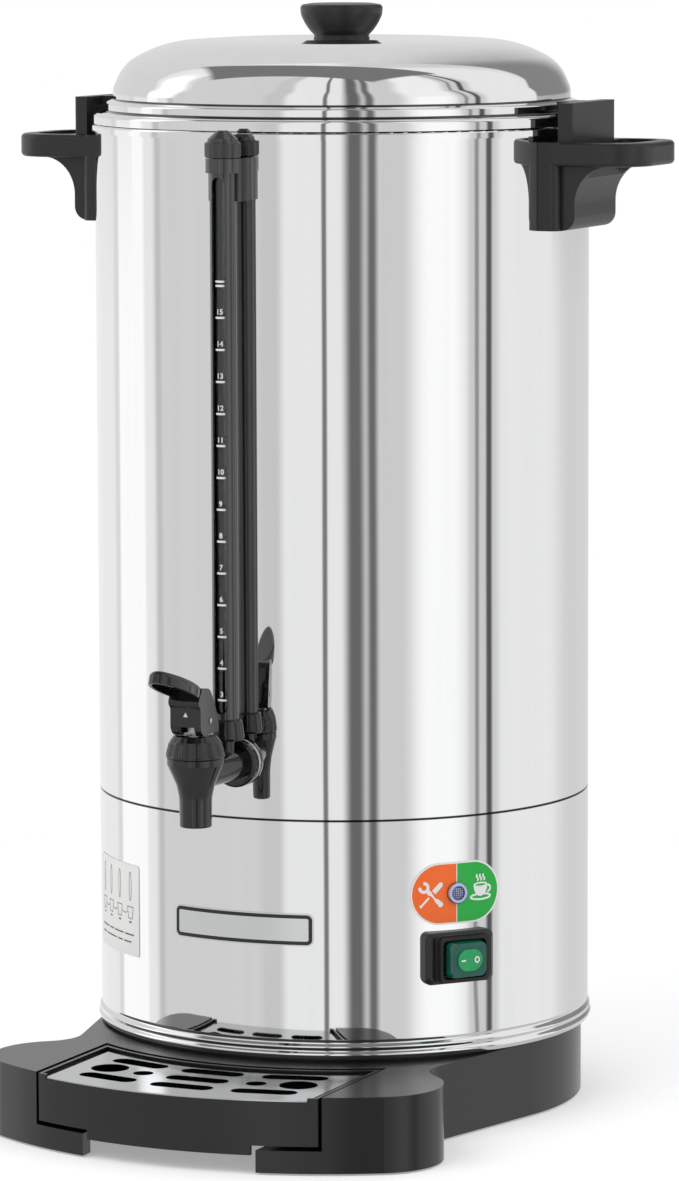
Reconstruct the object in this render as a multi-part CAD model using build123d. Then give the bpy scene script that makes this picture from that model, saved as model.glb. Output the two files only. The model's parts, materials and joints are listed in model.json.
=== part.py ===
"""Coffee urn: a double-walled percolator urn with tap, level gauge and drip tray.

Millimetres. +Z is up, the origin is on the body axis at the floor, the tap faces -Y
and the handles lie on +X and -X. Each function makes one piece or one matched group.
"""
import os
from math import asin, cos, degrees, radians, sin, sqrt

from build123d import *

os.makedirs("parts", exist_ok=True)

# ---------------------------------------------------------------- driving dimensions
sheet = 0.8                 # stainless sheet of the shell, band, tank and lid
seat_gap = 0.3              # gap between pieces that rest on each other
fit_gap = 0.1               # radial clearance of a pin or stem that turns or slides
print_gap = 0.1             # gap under a label
slip = 0.05                 # clearance of faces that touch

# body
body_r = 145.0              # outer radius of the shell and of the lower band
base_h = 44.5               # top of the plastic base
seat_ring_h = 1.0           # raised ring on the base that carries the body
lip_w = 8.0                 # width of the band's turned-in lip
foot_bead_out = 2.1         # how far the widest roll stands out
foot_bead_h = 11.5          # height of the rolled zone above the base
band_h = 138.5              # lower band from its lip to the seam
seam_line = 0.5             # visible gap at the seam
joggle_h = 8.0              # overlap of the band inside the shell
shell_h = 391.9             # outer shell with the rolled rim on top of it
rim_out = 1.9               # how far the rim stands out over the shell
rim_curl_h = 4.5            # depth of its turned-down edge

# tank
jacket_gap = 12.5           # from the shell's outside to the tank's inside
floor_rise = 16.5           # tank floor above the seam
tank_knuckle = 3.0          # corner radius between tank floor and wall
well_r = 24.0               # heat well in the tank floor
well_depth = 10.0

# lid
lid_flange_h = 6.2
lid_step_out = 5.8          # step and dome radii, measured from the tank's inside
lid_dome_out = 1.8
lid_step_h = 6.0
lid_dome_base_h = 18.0      # from rim to the start of the dome's curve
lid_top_h = 49.6            # from rim to the highest ring of the dome
lid_dish = 2.4              # dish around the knob
lid_crown_in = 35.0         # where the shoulder turns into the crown, inwards from the shell
lid_crown_fall = 6.7        # and how far below the top ring that is
lid_ring_ins = (63.0, 79.0) # outer and inner edge of the flat top ring, likewise
lock_notch_w = 34.0         # notches in the flange that pass the handle hooks
lock_notch_in = 6.6         # radial depth of those notches
locator_gap = 0.9           # locating ring inside the tank mouth
locator_h = 13.0

# knob
knob_r = 24.3
knob_h = 22.4
knob_foot_r = 16.4
knob_screw_r = 2.5
knob_screw_grip = 12.0
knob_screw_head_r = 4.6
knob_screw_head_h = 2.6
knob_washer_r = 7.5
knob_washer_t = 1.0

# handles, heights measured down from the rim and reaches from the shell
handle_half_w = 38.0
handle_slab_out = 7.5
handle_slab_round = 5.0
handle_drop = 58.9
grip_low_drop = 21.9
grip_top_drop = 8.3
grip_out = 57.0
grip_corner = 24.0
grip_bar = 9.5
grip_round = 2.6
finger_gap_share = 0.37     # start of the finger gap, as a share of the grip's reach
gusset_arc_share = 0.632    # top end of the gusset's arc, likewise
gusset_half_w = 31.5
gusset_out = 15.4
gusset_arc_drop = 43.9
gusset_corner = 8.0
post_out = 14.4
post_thick = 8.5
post_half_w = 33.5
post_rise = 14.1
post_round = 2.5
post_rib = 2.4
hook_half_w = 14.0
hook_in = 4.0
hook_thick = 5.0
handle_screw_r = 2.5
handle_screw_drops = (47.9, 15.9)
handle_screw_grip = 9.0
handle_screw_head_r = 4.5
handle_screw_head_h = 2.8

# tap, heights measured from its barrel axis
tap_rise = 15.9             # barrel axis above the tank floor
tap_out = 56.0              # spout axis ahead of the shell
barrel_r = 8.4
barrel_root_r = 9.4
flange_r = 13.9
flange_t = 5.6
washer_t = 1.6
shank_r = 8.0
water_r = 5.0               # bore of the barrel
shank_inside = 12.5         # shank length past the tank's inner face
nut_flat = 24.0
nut_t = 8.0
spout_drop = 28.8
spout_tip_r = 9.1
spout_waist_drop = 12.4
spout_waist_r = 9.3
spout_belly_drop = 4.6
spout_belly_r = 11.0
spout_head_rise = 6.8
spout_head_r = 16.2
tap_top_rise = 10.7
outlet_r = 5.5
seat_drop = 10.9            # valve seat inside the tap
chamber_r = 7.2
neck_r = 9.5
neck_h = 6.0
bonnet_r = 17.0
bonnet_h = 12.9
bonnet_top_r = 12.0
bonnet_wall = 2.4
stem_r = 3.1
stem_head_w = 6.4
stem_collar_r = 6.2
stem_collar_t = 1.2
cup_r = 6.6
cup_h = 8.5
pivot_rise = 8.4            # lever pin above the bonnet
pin_r = 1.5
pin_gap = 0.05
lever_w = 19.0
lever_slot_w = 7.0
lever_slot_reach = 1.6
cam_ahead = 5.5             # cam centre ahead of the pin
cam_drop = 1.5              # cam centre below the pin
cam_gap = 0.15
lever_front = 12.25
lever_rise = 16.2           # top of the lever's block above the bonnet
paddle_root_rise = 22.0
paddle_tip_rise = 37.0
paddle_reach = 49.5         # paddle tip ahead of the spout axis
paddle_w = 22.0
paddle_t = 7.6
paddle_round = 3.2
paddle_rim = 2.4            # rim around the hollow under the paddle
paddle_hollow = 3.0
lever_mouth_w = 10.4        # open mouth at the front of the fork
lever_mouth_h = 5.6
spring_wire = 0.5
spring_turns = 4

# level gauge
gauge_share = 0.2857        # gauge axis ahead of the shell, as a share of the tap's reach
guard_r = 7.6
guard_wall = 1.5
guard_slot_w = 8.0
guard_slot_ends = (3.4, 2.4)  # from the slot's ends to the nut below and the collar above
glass_r = 5.4
glass_wall = 1.1
gauge_neck_r = 4.9
gauge_nut_rise = 15.3       # nut above the barrel axis
gauge_nut_h = 11.9
gauge_nut_low_r = 10.7
gauge_nut_top_r = 9.3
gauge_nut_ribs = 20
gauge_seal_t = 2.2
glass_seat = 4.5            # how deep the glass sits in the nut and in the bracket
bracket_top_drop = 14.2
bracket_h = 24.1
collar_h = 8.1
bracket_w = 20.0
collar_wall = 2.2
cap_r = 9.95
cap_knurl_h = 9.0
cap_cone_h = 6.4
cap_cone_low_r = 8.6
cap_cone_top_r = 3.0
bracket_screw_r = 2.0
bracket_screw_grip = 5.5
bracket_screw_head_r = 3.8
bracket_screw_head_h = 2.4

# control panel, badge and labels, heights above the base
panel_az = 50.9             # azimuth of lamp and switch from the front, towards +X
lamp_rise = 95.5
lamp_r = 6.25
lamp_shank_r = 4.9
lamp_shank_len = 14.0
lens_r = 4.1
panel_label_w = 57.0
panel_label_h = 36.0
label_t = 0.3
switch_rise = 58.5
switch_w = 43.8
switch_h = 30.0
switch_plinth = 5.0
boot_w = 31.0
boot_h = 26.0
boot_out = 10.5
rocker_w = 26.6
rocker_h = 21.6
rocker_out = 15.2
rocker_axis_out = 4.0
rocker_axle_r = 1.4
rocker_axle_half = rocker_h / 2 - 0.2
axle_gap = 0.06
rocker_rest_tilt = 6.0
island_w = 16.4
island_h = 12.5
island_t = 1.0
switch_body_w = 24.0
switch_body_h = 19.0
switch_body_depth = 22.0
badge_w = 88.0
badge_h = 19.0
badge_rise = 76.3
side_label_az = -43.0
side_label_w = 61.0
side_label_h = 54.0
side_label_rise = 76.0

# percolator
tube_r = 4.5
tube_wall = 0.8
tube_top_drop = 27.9        # below the rim
pump_foot_r = 21.5
pump_foot_h = 20.0
basket_r = 76.0
basket_h = 84.0
basket_drop = 135.9         # basket floor below the rim
basket_sleeve_h = 60.0
basket_stop_r = 8.0
basket_hole_w = 3.6
cover_h = 5.0
spreader_hole_r = 2.2

# base and drip tray
ring_in = 4.0               # rear part of the base, inside the shell's radius
base_wall = 2.5
base_deck_t = 3.0
base_clear_z = 1.2          # height of the base wall's lower edge over the floor
front_out = 100.0           # front of the base ahead of the shell
front_flat = 15.0           # how far the front arc's centre lies ahead of the axis
lobe_share = (0.69, 1.2276)  # lobe centre, as shares of the body radius
waist_round = 24.0
side_tangent_deg = 14.4
bay_share = 0.6172          # half width of the tray bay, as a share of the body radius
bay_back_out = 19.5
bay_floor_z = 14.0
bay_floor_t = 2.5
bay_front_skin = 9.0
foot_gap_share = 0.6034     # half width of the open middle, as a share of the bay's
tray_gap = 2.0
tray_wall = 2.2
tray_low_z = 16.6
tray_drop_in = 3.0          # lower middle of the tray's front, inside the foot gap
tray_drop_z = 11.0
tray_rim_drop = 0.5
grille_drop = 1.9
grille_t = 0.8
grille_inset = 6.0
slot_len = 38.5
slot_w = 12.0
slot_share = 0.5475         # slot and hole columns, as shares of the bay's half width
small_hole_share = 0.3978
big_hole_share = 0.6637
slot_row_ins = (63.8, 43.7, 23.6)  # rows behind the front
slot_bow_y = 20.0           # rows bow about this point on the centre line
small_hole_r = 5.9
big_hole_r = 11.0
rail_share = 0.8045
rail_w = 4.0
foot_pad_r = 8.0
foot_pad_h = 3.0
foot_plug_r = 4.0
foot_plug_h = 6.0
pad_boss_wall = 1.0
front_pad_shift = (8.0, 2.0)
rear_pad_shares = (0.5957, 0.6525)

# electrical and bottom parts
plate_t = 1.0
base_screw_r = 2.0
base_screw_head_r = 3.6
base_screw_head_h = 2.4
base_nut_flat = 7.0
base_nut_t = 3.2
base_screw_in = 8.0         # screw circle inside the band's lip
deck_hole_in = 19.0
base_screw_angles = (30, 150, 210, 330)
gland_rise = 35.5
gland_r = 8.0
gland_bore_r = 3.7
gland_flat = 22.0
heater_gap = 2.0
heater_h = 9.0
ring_heater_share = 0.6792  # keep-warm ring, as a share of the tank radius
ring_heater_w = 9.0
ring_heater_h = 7.0
clamp_out = 14.0
clamp_t = 1.2
stud_in = 32.0
stud_r = 2.5
stud_nut_flat = 8.0
stud_nut_t = 4.0
stud_count = 3
thermostat_r = 8.5
thermostat_h = 7.0
cutout_at = (60.0, 35.0)
cutout_r = 9.0
cutout_h = 20.0
button_r = 2.6
button_out = 6.0
button_travel = 2.2
button_well_h = 8.0
terminal_w = 48.0
terminal_d = 18.0
terminal_h = 14.0
terminal_y = 70.0

# ---------------------------------------------------------------- derived dimensions
body_in_r = body_r - sheet
lip_r = body_r - lip_w
foot_bead_r = body_r + foot_bead_out
body_low_z = base_h + seat_ring_h            # underside of the body's lip
floor_plate_z = body_low_z + sheet           # the bottom plate rests on the lip
seam_z = body_low_z + band_h
rim_z = seam_z + shell_h
rim_r = body_r + rim_out
flange_under_z = rim_z - sheet               # top end of the outer shell

tank_r = body_r - jacket_gap
tank_floor_z = seam_z + floor_rise
tank_out_r = tank_r + sheet
tank_under_z = tank_floor_z - sheet
well_z = tank_floor_z - well_depth

lid_low_z = rim_z + seat_gap
lid_step_r = tank_r + lid_step_out
lid_dome_r = tank_r + lid_dome_out
lid_top_z = rim_z + lid_top_h
knob_low_z = lid_top_z - lid_dish
locator_r = tank_r - locator_gap

handle_slab_x = body_r + handle_slab_out
handle_bottom_z = rim_z - handle_drop
grip_bottom_z = rim_z - grip_low_drop
grip_top_z = rim_z - grip_top_drop
grip_reach = body_r + grip_out
finger_gap_x = body_r + finger_gap_share * grip_out
finger_gap_len = grip_reach - grip_bar - finger_gap_x
gusset_x = body_r + gusset_out
gusset_arc_x = body_r + gusset_arc_share * grip_out
gusset_arc_z = rim_z - gusset_arc_drop
post_x = body_r + post_out
post_top_z = rim_z + post_rise
hook_reach = body_r - hook_in
handle_screw_z = [rim_z - drop for drop in handle_screw_drops]

tap_z = tank_floor_z + tap_rise
tap_reach = body_r + tap_out
tap_y = -tap_reach
spout_tip_z = tap_z - spout_drop
tap_top_z = tap_z + tap_top_rise
seat_z = tap_z - seat_drop
bonnet_top_z = tap_top_z + bonnet_h
pivot_z = bonnet_top_z + pivot_rise
lever_top_z = bonnet_top_z + lever_rise
paddle_root_z = bonnet_top_z + paddle_root_rise
paddle_tip_z = bonnet_top_z + paddle_tip_rise
stem_collar_z = tap_top_z + 2 * fit_gap
stem_low_z = seat_z + seat_gap + cup_h / 4

gauge_reach = body_r + gauge_share * tap_out
gauge_y = -gauge_reach
guard_in_r = guard_r - guard_wall
gauge_nut_low_z = tap_z + gauge_nut_rise
gauge_nut_top_z = gauge_nut_low_z + gauge_nut_h
gauge_nut_bore = glass_r + 1.9
glass_low_z = gauge_nut_low_z + glass_seat
gauge_seal_z = glass_low_z + 2.0
bracket_top_z = rim_z - bracket_top_drop
bracket_low_z = bracket_top_z - bracket_h
collar_low_z = bracket_top_z - collar_h
bracket_screw_z = (bracket_low_z + collar_low_z) / 2
guard_slot_low_z = gauge_nut_top_z + guard_slot_ends[0]
guard_slot_top_z = collar_low_z - guard_slot_ends[1]

lamp_z = base_h + lamp_rise
switch_z = base_h + switch_rise
badge_z = base_h + badge_rise
side_label_z = base_h + side_label_rise
gland_z = base_h + gland_rise

tube_top_z = rim_z - tube_top_drop
basket_z = rim_z - basket_drop

ring_r = body_r - ring_in
front_y = body_r + front_out
front_arc_r = front_y - front_flat
front_centre_y = front_flat                  # centre of the front arc, ahead of the axis
lobe_x = lobe_share[0] * body_r
lobe_y = lobe_share[1] * body_r
lobe_r = front_arc_r - sqrt(lobe_x ** 2 + (lobe_y - front_centre_y) ** 2)
bay_top_z = base_h - base_deck_t
bay_half_w = bay_share * body_r
bay_back_r = body_r + bay_back_out
foot_gap_half_w = foot_gap_share * bay_half_w
tray_drop_half_w = foot_gap_half_w - tray_drop_in
tray_rim_z = base_h - tray_rim_drop
grille_z = base_h - grille_drop
slot_x = slot_share * bay_half_w
slot_row_y = [front_y - inward for inward in slot_row_ins]
small_hole_x = small_hole_share * bay_half_w
big_hole_x = big_hole_share * bay_half_w
rail_x = rail_share * bay_half_w
front_pad = (lobe_x + front_pad_shift[0], -lobe_y - front_pad_shift[1])
rear_pad = (rear_pad_shares[0] * ring_r, rear_pad_shares[1] * ring_r)
base_screw_ring_r = lip_r - base_screw_in
deck_hole_r = lip_r - deck_hole_in

heater_r = well_r - heater_gap
ring_heater_r = ring_heater_share * tank_r
clamp_r = ring_heater_r + clamp_out
stud_ring_r = ring_heater_r - stud_in
stud_circle = [120 * i + 90 for i in range(stud_count)]


# ---------------------------------------------------------------- helpers
def turned(*points, radii=None):
    """Solid of revolution about Z from closed (radius, height) points."""
    line = FilletPolyline(*points, radius=radii or 0, close=True) if radii else Polyline(*points, close=True)
    return revolve(Plane.XZ * make_face(line), Axis.Z)


def pressed(points, radii, thickness=sheet, side=Side.RIGHT):
    """Sheet-metal ring of revolution: a bent strip along (radius, height) points."""
    path = FilletPolyline(*points, radius=radii)
    strip = offset(path, amount=thickness, side=side)
    return revolve(Plane.XZ * make_face(strip.edges()), Axis.Z)


def tube(outer, inner, low, high, x=0.0, y=0.0):
    """Upright tube or, with inner 0, an upright rod."""
    ring = Circle(outer) - Circle(inner) if inner > 0 else Circle(outer)
    return extrude(Plane((x, y, low)) * ring, high - low)


def block(x0, x1, y0, y1, z0, z1):
    """Box between two corners."""
    return Pos((x0 + x1) / 2, (y0 + y1) / 2, (z0 + z1) / 2) * Box(x1 - x0, y1 - y0, z1 - z0)


def along_y(radius, y0, y1, z, x=0.0):
    """Rod parallel to Y between two stations."""
    low = min(y0, y1)
    return extrude(Plane((x, low, z), x_dir=(1, 0, 0), z_dir=(0, 1, 0)) * Circle(radius), abs(y1 - y0))


def along_x(radius, x0, x1, y, z):
    """Rod parallel to X between two stations."""
    low = min(x0, x1)
    return extrude(Plane((low, y, z), x_dir=(0, 1, 0), z_dir=(1, 0, 0)) * Circle(radius), abs(x1 - x0))


def wall_plane(azimuth, z, radius=body_r):
    """Plane on the body wall: x runs to the viewer's right, z points outwards."""
    a = radians(azimuth)
    return Plane((radius * sin(a), -radius * cos(a), z), x_dir=(cos(a), sin(a), 0), z_dir=(sin(a), -cos(a), 0))


def polar(radius, angle_deg, z=0.0):
    """Point at an angle from +X."""
    return (radius * cos(radians(angle_deg)), radius * sin(radians(angle_deg)), z)


def wrapped_label(outline, azimuth, z):
    """Thin label that follows the round body wall."""
    slug = extrude(wall_plane(azimuth, z, body_r - 20) * outline, 40)
    low = body_r + print_gap
    return slug & tube(low + label_t, low, z - 60, z + 60)


def both_sides(piece):
    """The piece and its mirror image across the YZ plane."""
    return [piece, mirror(piece, Plane.YZ)]


def save(name, shape):
    """Write one node; a list becomes a group of separate solids."""
    if isinstance(shape, (list, tuple)):
        shape = Compound(children=[s for s in shape])
    export_step(shape, f"parts/{name}.step")


# ---------------------------------------------------------------- body
def make_outer_shell():
    shell = tube(body_r, body_in_r, seam_z + seam_line / 2, flange_under_z)
    shell -= along_y(shank_r + 0.2, -body_r - 5, -body_r + 15, tap_z)
    shell -= along_y(bracket_screw_r + 0.2, -body_r - 5, -body_r + 15, bracket_screw_z)
    for z in handle_screw_z:
        shell -= along_x(handle_screw_r + 0.2, -body_r - 5, body_r + 5, 0, z)
    return shell


def make_lower_band():
    z0 = body_low_z
    joggle_r = body_in_r - fit_gap
    band = pressed(
        [
            (lip_r, z0), (body_r + 0.6, z0), (foot_bead_r, z0 + 3.1), (body_r + 0.3, z0 + 5.2),
            (body_r + 1.4, z0 + 7.4), (body_r - 0.6, z0 + 9.6), (body_r, z0 + foot_bead_h),
            (body_r, seam_z - seam_line / 2), (joggle_r, seam_z + seam_line / 2), (joggle_r, seam_z + joggle_h),
        ],
        (1.2, 1.4, 1.0, 1.0, 1.0, 1.5, 0.3, 0.3),
        side=Side.LEFT,
    )
    panel = wall_plane(panel_az, switch_z, body_r - 15)
    band -= extrude(panel * Rectangle(switch_body_w + 0.6, switch_body_h + 0.6), 30)
    band -= extrude(wall_plane(panel_az, lamp_z, body_r - 15) * Circle(lamp_shank_r + 0.2), 30)
    band -= along_y(gland_r + 0.2, body_r - 15, body_r + 5, gland_z)
    return band


def make_inner_tank():
    wall_top = rim_z
    tank = pressed(
        [
            (0, well_z), (well_r, well_z), (well_r + 2, tank_floor_z), (tank_r, tank_floor_z),
            (tank_r, wall_top), (rim_r, wall_top), (rim_r, wall_top - rim_curl_h),
        ],
        (1.0, 1.5, tank_knuckle, 0, 1.2),
    )
    return tank - along_y(shank_r + 0.2, -tank_out_r - 5, -tank_r + 15, tap_z)


def make_bottom_plate():
    plate = tube(body_r - 3.2, 0, floor_plate_z, floor_plate_z + plate_t)
    for angle in base_screw_angles:
        x, y, _ = polar(base_screw_ring_r, angle)
        plate -= tube(base_screw_r + 0.2, 0, floor_plate_z - 1, floor_plate_z + plate_t + 1, x, y)
    x, y = cutout_at
    plate -= tube(button_r + fit_gap, 0, floor_plate_z - 1, floor_plate_z + plate_t + 1, x, y)
    return plate


# ---------------------------------------------------------------- lid
def make_lid_shell():
    z = lid_low_z
    dome_z = rim_z + lid_dome_base_h
    step_z = z + lid_flange_h + lid_step_h
    rise = FilletPolyline(
        (rim_r, z), (rim_r, z + lid_flange_h), (lid_step_r, z + lid_flange_h + 0.9), (lid_step_r, step_z),
        (lid_dome_r, step_z + 1.6), (lid_dome_r, dome_z), radius=(2.2, 0.8, 1.4, 0.8),
    )
    knuckle = TangentArc((lid_dome_r, dome_z), (lid_dome_r - 3.3, dome_z + 8.6), tangent=(0, 1))
    ring_out, ring_in = [body_r - inward for inward in lid_ring_ins]
    shoulder = TangentArc(knuckle @ 1, (body_r - lid_crown_in, lid_top_z - lid_crown_fall), tangent=knuckle % 1)
    crown = TangentArc(shoulder @ 1, (ring_out, lid_top_z), tangent=shoulder % 1)
    top = Line((ring_out, lid_top_z), (ring_in, lid_top_z))
    dish = TangentArc((ring_in, lid_top_z), (knob_r, knob_low_z + 0.05), tangent=(-1, 0))
    seat = Polyline(dish @ 1, (knob_foot_r + 2, knob_low_z), (0, knob_low_z))
    lines = [line.edges() for line in (rise, knuckle, shoulder, crown, top, dish, seat)]
    strip = offset(Wire([edge for group in lines for edge in group]), amount=sheet, side=Side.LEFT)
    lid = revolve(Plane.XZ * make_face(strip.edges()), Axis.Z)
    lid -= tube(knob_screw_r + fit_gap, 0, knob_low_z - knob_h, knob_low_z + knob_h)
    notch_r = rim_r - lock_notch_in
    for sign in (1, -1):
        lid -= block(
            min(sign * notch_r, sign * handle_slab_x), max(sign * notch_r, sign * handle_slab_x),
            -lock_notch_w / 2, lock_notch_w / 2, z - 5, z + lid_flange_h + 0.95,
        )
    return lid


def make_lid_locating_ring():
    """Welded ring that keeps the lid centred in the tank mouth."""
    wall_in_r = lid_dome_r - sheet
    low = lid_low_z + lid_flange_h + lid_step_h + 1.5
    return pressed(
        [(locator_r - sheet, rim_z - locator_h), (locator_r - sheet, low), (wall_in_r - sheet - 0.02, low + 2.5),
         (wall_in_r - sheet - 0.02, rim_z + lid_dome_base_h - 0.5)], (1.2, 1.2),
    )


def make_lid_knob():
    z = knob_low_z + 0.05
    knob = turned(
        (0, z), (knob_foot_r, z), (knob_foot_r, z + 2.0), (knob_r - 3.4, z + 5.2), (knob_r - 0.6, z + 9.6),
        (knob_r, z + 16.8), (knob_r - 1.6, z + 20.6), (knob_r - 8, z + knob_h - 0.2), (0, z + knob_h),
        radii=(0, 0.6, 0.8, 4, 6, 5, 2.4, 12, 0),
    )
    return knob - tube(knob_screw_r + 0.05, 0, z - 1, z + knob_screw_grip)


def make_knob_screw():
    under = knob_low_z - sheet - knob_washer_t
    head = tube(knob_screw_head_r, 0, under - knob_screw_head_h, under)
    return head + tube(knob_screw_r, 0, under, knob_low_z + knob_screw_grip - 1)


def make_knob_washer():
    return tube(knob_washer_r, knob_screw_r + fit_gap, knob_low_z - sheet - knob_washer_t, knob_low_z - sheet)


# ---------------------------------------------------------------- handles
def make_handle():
    """Right-hand handle: slab on the shell, gusset, grip loop and lid-lock post."""
    slab = block(body_r - handle_slab_out, handle_slab_x, -handle_half_w, handle_half_w, handle_bottom_z, grip_top_z)
    slab = fillet(slab.edges().filter_by(Axis.Z).group_by(Axis.X)[-1], handle_slab_round)
    arc_h = grip_bottom_z - gusset_arc_z
    side = make_face(Polyline(
        (body_r - 5, handle_bottom_z), (gusset_x, handle_bottom_z), (gusset_x, gusset_arc_z),
        (gusset_arc_x, gusset_arc_z), (gusset_arc_x, grip_bottom_z + 1), (body_r - 5, grip_bottom_z + 1), close=True,
    ))
    hollow = Pos(gusset_arc_x, gusset_arc_z) * Ellipse(gusset_arc_x - gusset_x, arc_h)
    side = side - hollow
    corner = side.vertices().sort_by_distance((gusset_x, handle_bottom_z))[0]
    side = fillet(corner, gusset_corner)
    gusset = extrude(Plane.XZ * side, gusset_half_w, both=True)
    outline = make_face(FilletPolyline(
        (body_r - 5, -handle_half_w), (grip_reach, -handle_half_w), (grip_reach, handle_half_w),
        (body_r - 5, handle_half_w), radius=(0, grip_corner, grip_corner, 0), close=True,
    ))
    grip = extrude(Plane((0, 0, grip_bottom_z)) * outline, grip_top_z - grip_bottom_z)
    rim_edges = grip.faces().sort_by(Axis.Z)[-1].edges() + grip.faces().sort_by(Axis.Z)[0].edges()
    outer_edges = [e for e in rim_edges if e.center().X > handle_slab_x]
    grip = fillet(outer_edges, grip_round)
    post = block(
        post_x - post_thick, post_x, -post_half_w, post_half_w, grip_bottom_z + 2, post_top_z
    )
    post = fillet(post.edges().filter_by(Axis.Z).group_by(Axis.X)[-1], post_round)
    recess = block(
        post_x - post_thick - 1, post_x - post_thick + post_rib, -post_half_w + 4, post_half_w - 4,
        grip_top_z + 3, post_top_z - hook_thick - 3,
    )
    hook = block(hook_reach, post_x - 1, -hook_half_w, hook_half_w, post_top_z - hook_thick, post_top_z)
    hook = fillet(hook.edges().filter_by(Axis.Z).group_by(Axis.X)[0], 3)
    gap = make_face(FilletPolyline(
        (finger_gap_x, -handle_half_w + grip_bar), (grip_reach - grip_bar, -handle_half_w + grip_bar),
        (grip_reach - grip_bar, handle_half_w - grip_bar), (finger_gap_x, handle_half_w - grip_bar),
        radius=[share * finger_gap_len for share in (0.15, 0.62, 0.62, 0.15)], close=True,
    ))
    fingers = extrude(Plane((0, 0, handle_bottom_z - 5)) * gap, grip_top_z - handle_bottom_z + 10)
    handle = slab + gusset + grip - fingers + (post - recess) + hook
    handle -= tube(body_r + 0.15, 0, handle_bottom_z - 5, flange_under_z - rim_curl_h + 0.2)
    handle -= tube(rim_r + seat_gap, 0, flange_under_z - rim_curl_h, post_top_z - hook_thick)
    for z in handle_screw_z:
        handle -= along_x(handle_screw_r + 0.05, body_r - 5, body_r + handle_screw_grip, 0, z)
    return handle


def make_handle_screws():
    screws = []
    for z in handle_screw_z:
        face = body_in_r - 0.12
        head = along_x(handle_screw_head_r, face - handle_screw_head_h, face, 0, z)
        screws += both_sides(head + along_x(handle_screw_r, face, body_r + handle_screw_grip - 1, 0, z))
    return screws


# ---------------------------------------------------------------- tap
def make_tap_body():
    spout = turned(
        (0, spout_tip_z), (spout_tip_r, spout_tip_z), (spout_waist_r, tap_z - spout_waist_drop),
        (spout_belly_r, tap_z - spout_belly_drop), (spout_head_r, tap_z + spout_head_rise), (spout_head_r, tap_top_z),
        (neck_r, tap_top_z), (neck_r, tap_top_z + neck_h), (0, tap_top_z + neck_h),
        radii=(0, 0.8, 20, 14, 1.6, 0.4, 0, 0.5, 0),
    )
    spout = Pos(0, tap_y, 0) * spout
    flange_back = body_r + washer_t
    taper = Plane((0, tap_y, tap_z), x_dir=(1, 0, 0), z_dir=(0, 1, 0))
    barrel = extrude(taper * Circle(barrel_r), tap_reach - flange_back - 1,
                     taper=-degrees(asin((barrel_root_r - barrel_r) / (tap_reach - flange_back))))
    flange = along_y(flange_r, -flange_back - flange_t, -flange_back, tap_z)
    flange = fillet(flange.edges().group_by(Axis.Y)[0], 2.2)
    shank = along_y(shank_r, -flange_back - 1, -tank_r + shank_inside, tap_z)
    gauge_neck = tube(gauge_neck_r, 0, tap_z, gauge_nut_low_z + 0.1, 0, gauge_y)
    gauge_neck += tube(gauge_nut_bore - fit_gap, 0, gauge_nut_low_z, gauge_seal_z, 0, gauge_y)
    body = spout + barrel + flange + shank + gauge_neck
    body -= along_y(water_r, tap_y, -tank_r + shank_inside + 1, tap_z)
    body -= tube(outlet_r, 0, spout_tip_z - 1, seat_z, 0, tap_y)
    body -= tube(chamber_r, 0, seat_z, tap_top_z + neck_h + 1, 0, tap_y)
    body -= tube(glass_r - glass_wall, 0, tap_z, glass_low_z, 0, gauge_y)
    body -= tube(glass_r + fit_gap, 0, glass_low_z, gauge_seal_z + 1, 0, gauge_y)
    return body


def make_tap_washer():
    """Silicone washer that fills between the flat flange and the round shell."""
    washer = along_y(flange_r - 0.4, -body_r - washer_t, -body_r + 3, tap_z)
    washer -= along_y(shank_r + fit_gap, -body_r - 5, -body_r + 5, tap_z)
    return washer - tube(body_r + 0.05, 0, tap_z - 30, tap_z + 30)


def make_tank_washer():
    """Silicone washer against the tank's round inner face."""
    washer = along_y(flange_r - 1.7, -tank_r - 2, -tank_r + washer_t + 1, tap_z)
    washer -= along_y(shank_r + fit_gap, -tank_r - 5, -tank_r + 5, tap_z)
    return washer & tube(tank_r - 0.05, 0, tap_z - 30, tap_z + 30)


def make_tap_nut():
    front = -tank_r + washer_t + 1
    nut = Plane((0, front, tap_z), x_dir=(1, 0, 0), z_dir=(0, 1, 0)) * RegularPolygon(nut_flat / 2, 6, major_radius=False)
    nut = extrude(nut, nut_t)
    return nut - along_y(shank_r + fit_gap, front - 1, front + nut_t + 1, tap_z)


def make_tap_bonnet():
    bonnet = turned(
        (0, tap_top_z + fit_gap), (bonnet_r, tap_top_z + fit_gap), (bonnet_r - 2.5, bonnet_top_z - 3.4),
        (bonnet_top_r, bonnet_top_z), (0, bonnet_top_z), radii=(0, 0.6, 1.8, 1.0, 0),
    )
    bonnet -= tube(neck_r + fit_gap, 0, tap_top_z, tap_top_z + neck_h + 0.3)
    bonnet -= tube(chamber_r, 0, tap_top_z, bonnet_top_z - bonnet_wall)
    bonnet -= tube(stem_r + fit_gap, 0, bonnet_top_z - 5, bonnet_top_z + 1)
    return Pos(0, tap_y, 0) * bonnet


def make_tap_stem():
    stem = tube(stem_r, 0, stem_low_z, bonnet_top_z + 0.6, 0, tap_y)
    stem += tube(stem_collar_r, 0, stem_collar_z, stem_collar_z + stem_collar_t, 0, tap_y)
    half = stem_head_w / 2
    head = block(-half, half, tap_y - half, tap_y + half, bonnet_top_z + 0.4, pivot_z + 3.4)
    stem += fillet(head.edges().filter_by(Axis.X).group_by(Axis.Z)[-1], 2.4)
    return stem - along_x(pin_r + 0.02, -lever_w, lever_w, tap_y, pivot_z)


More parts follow.
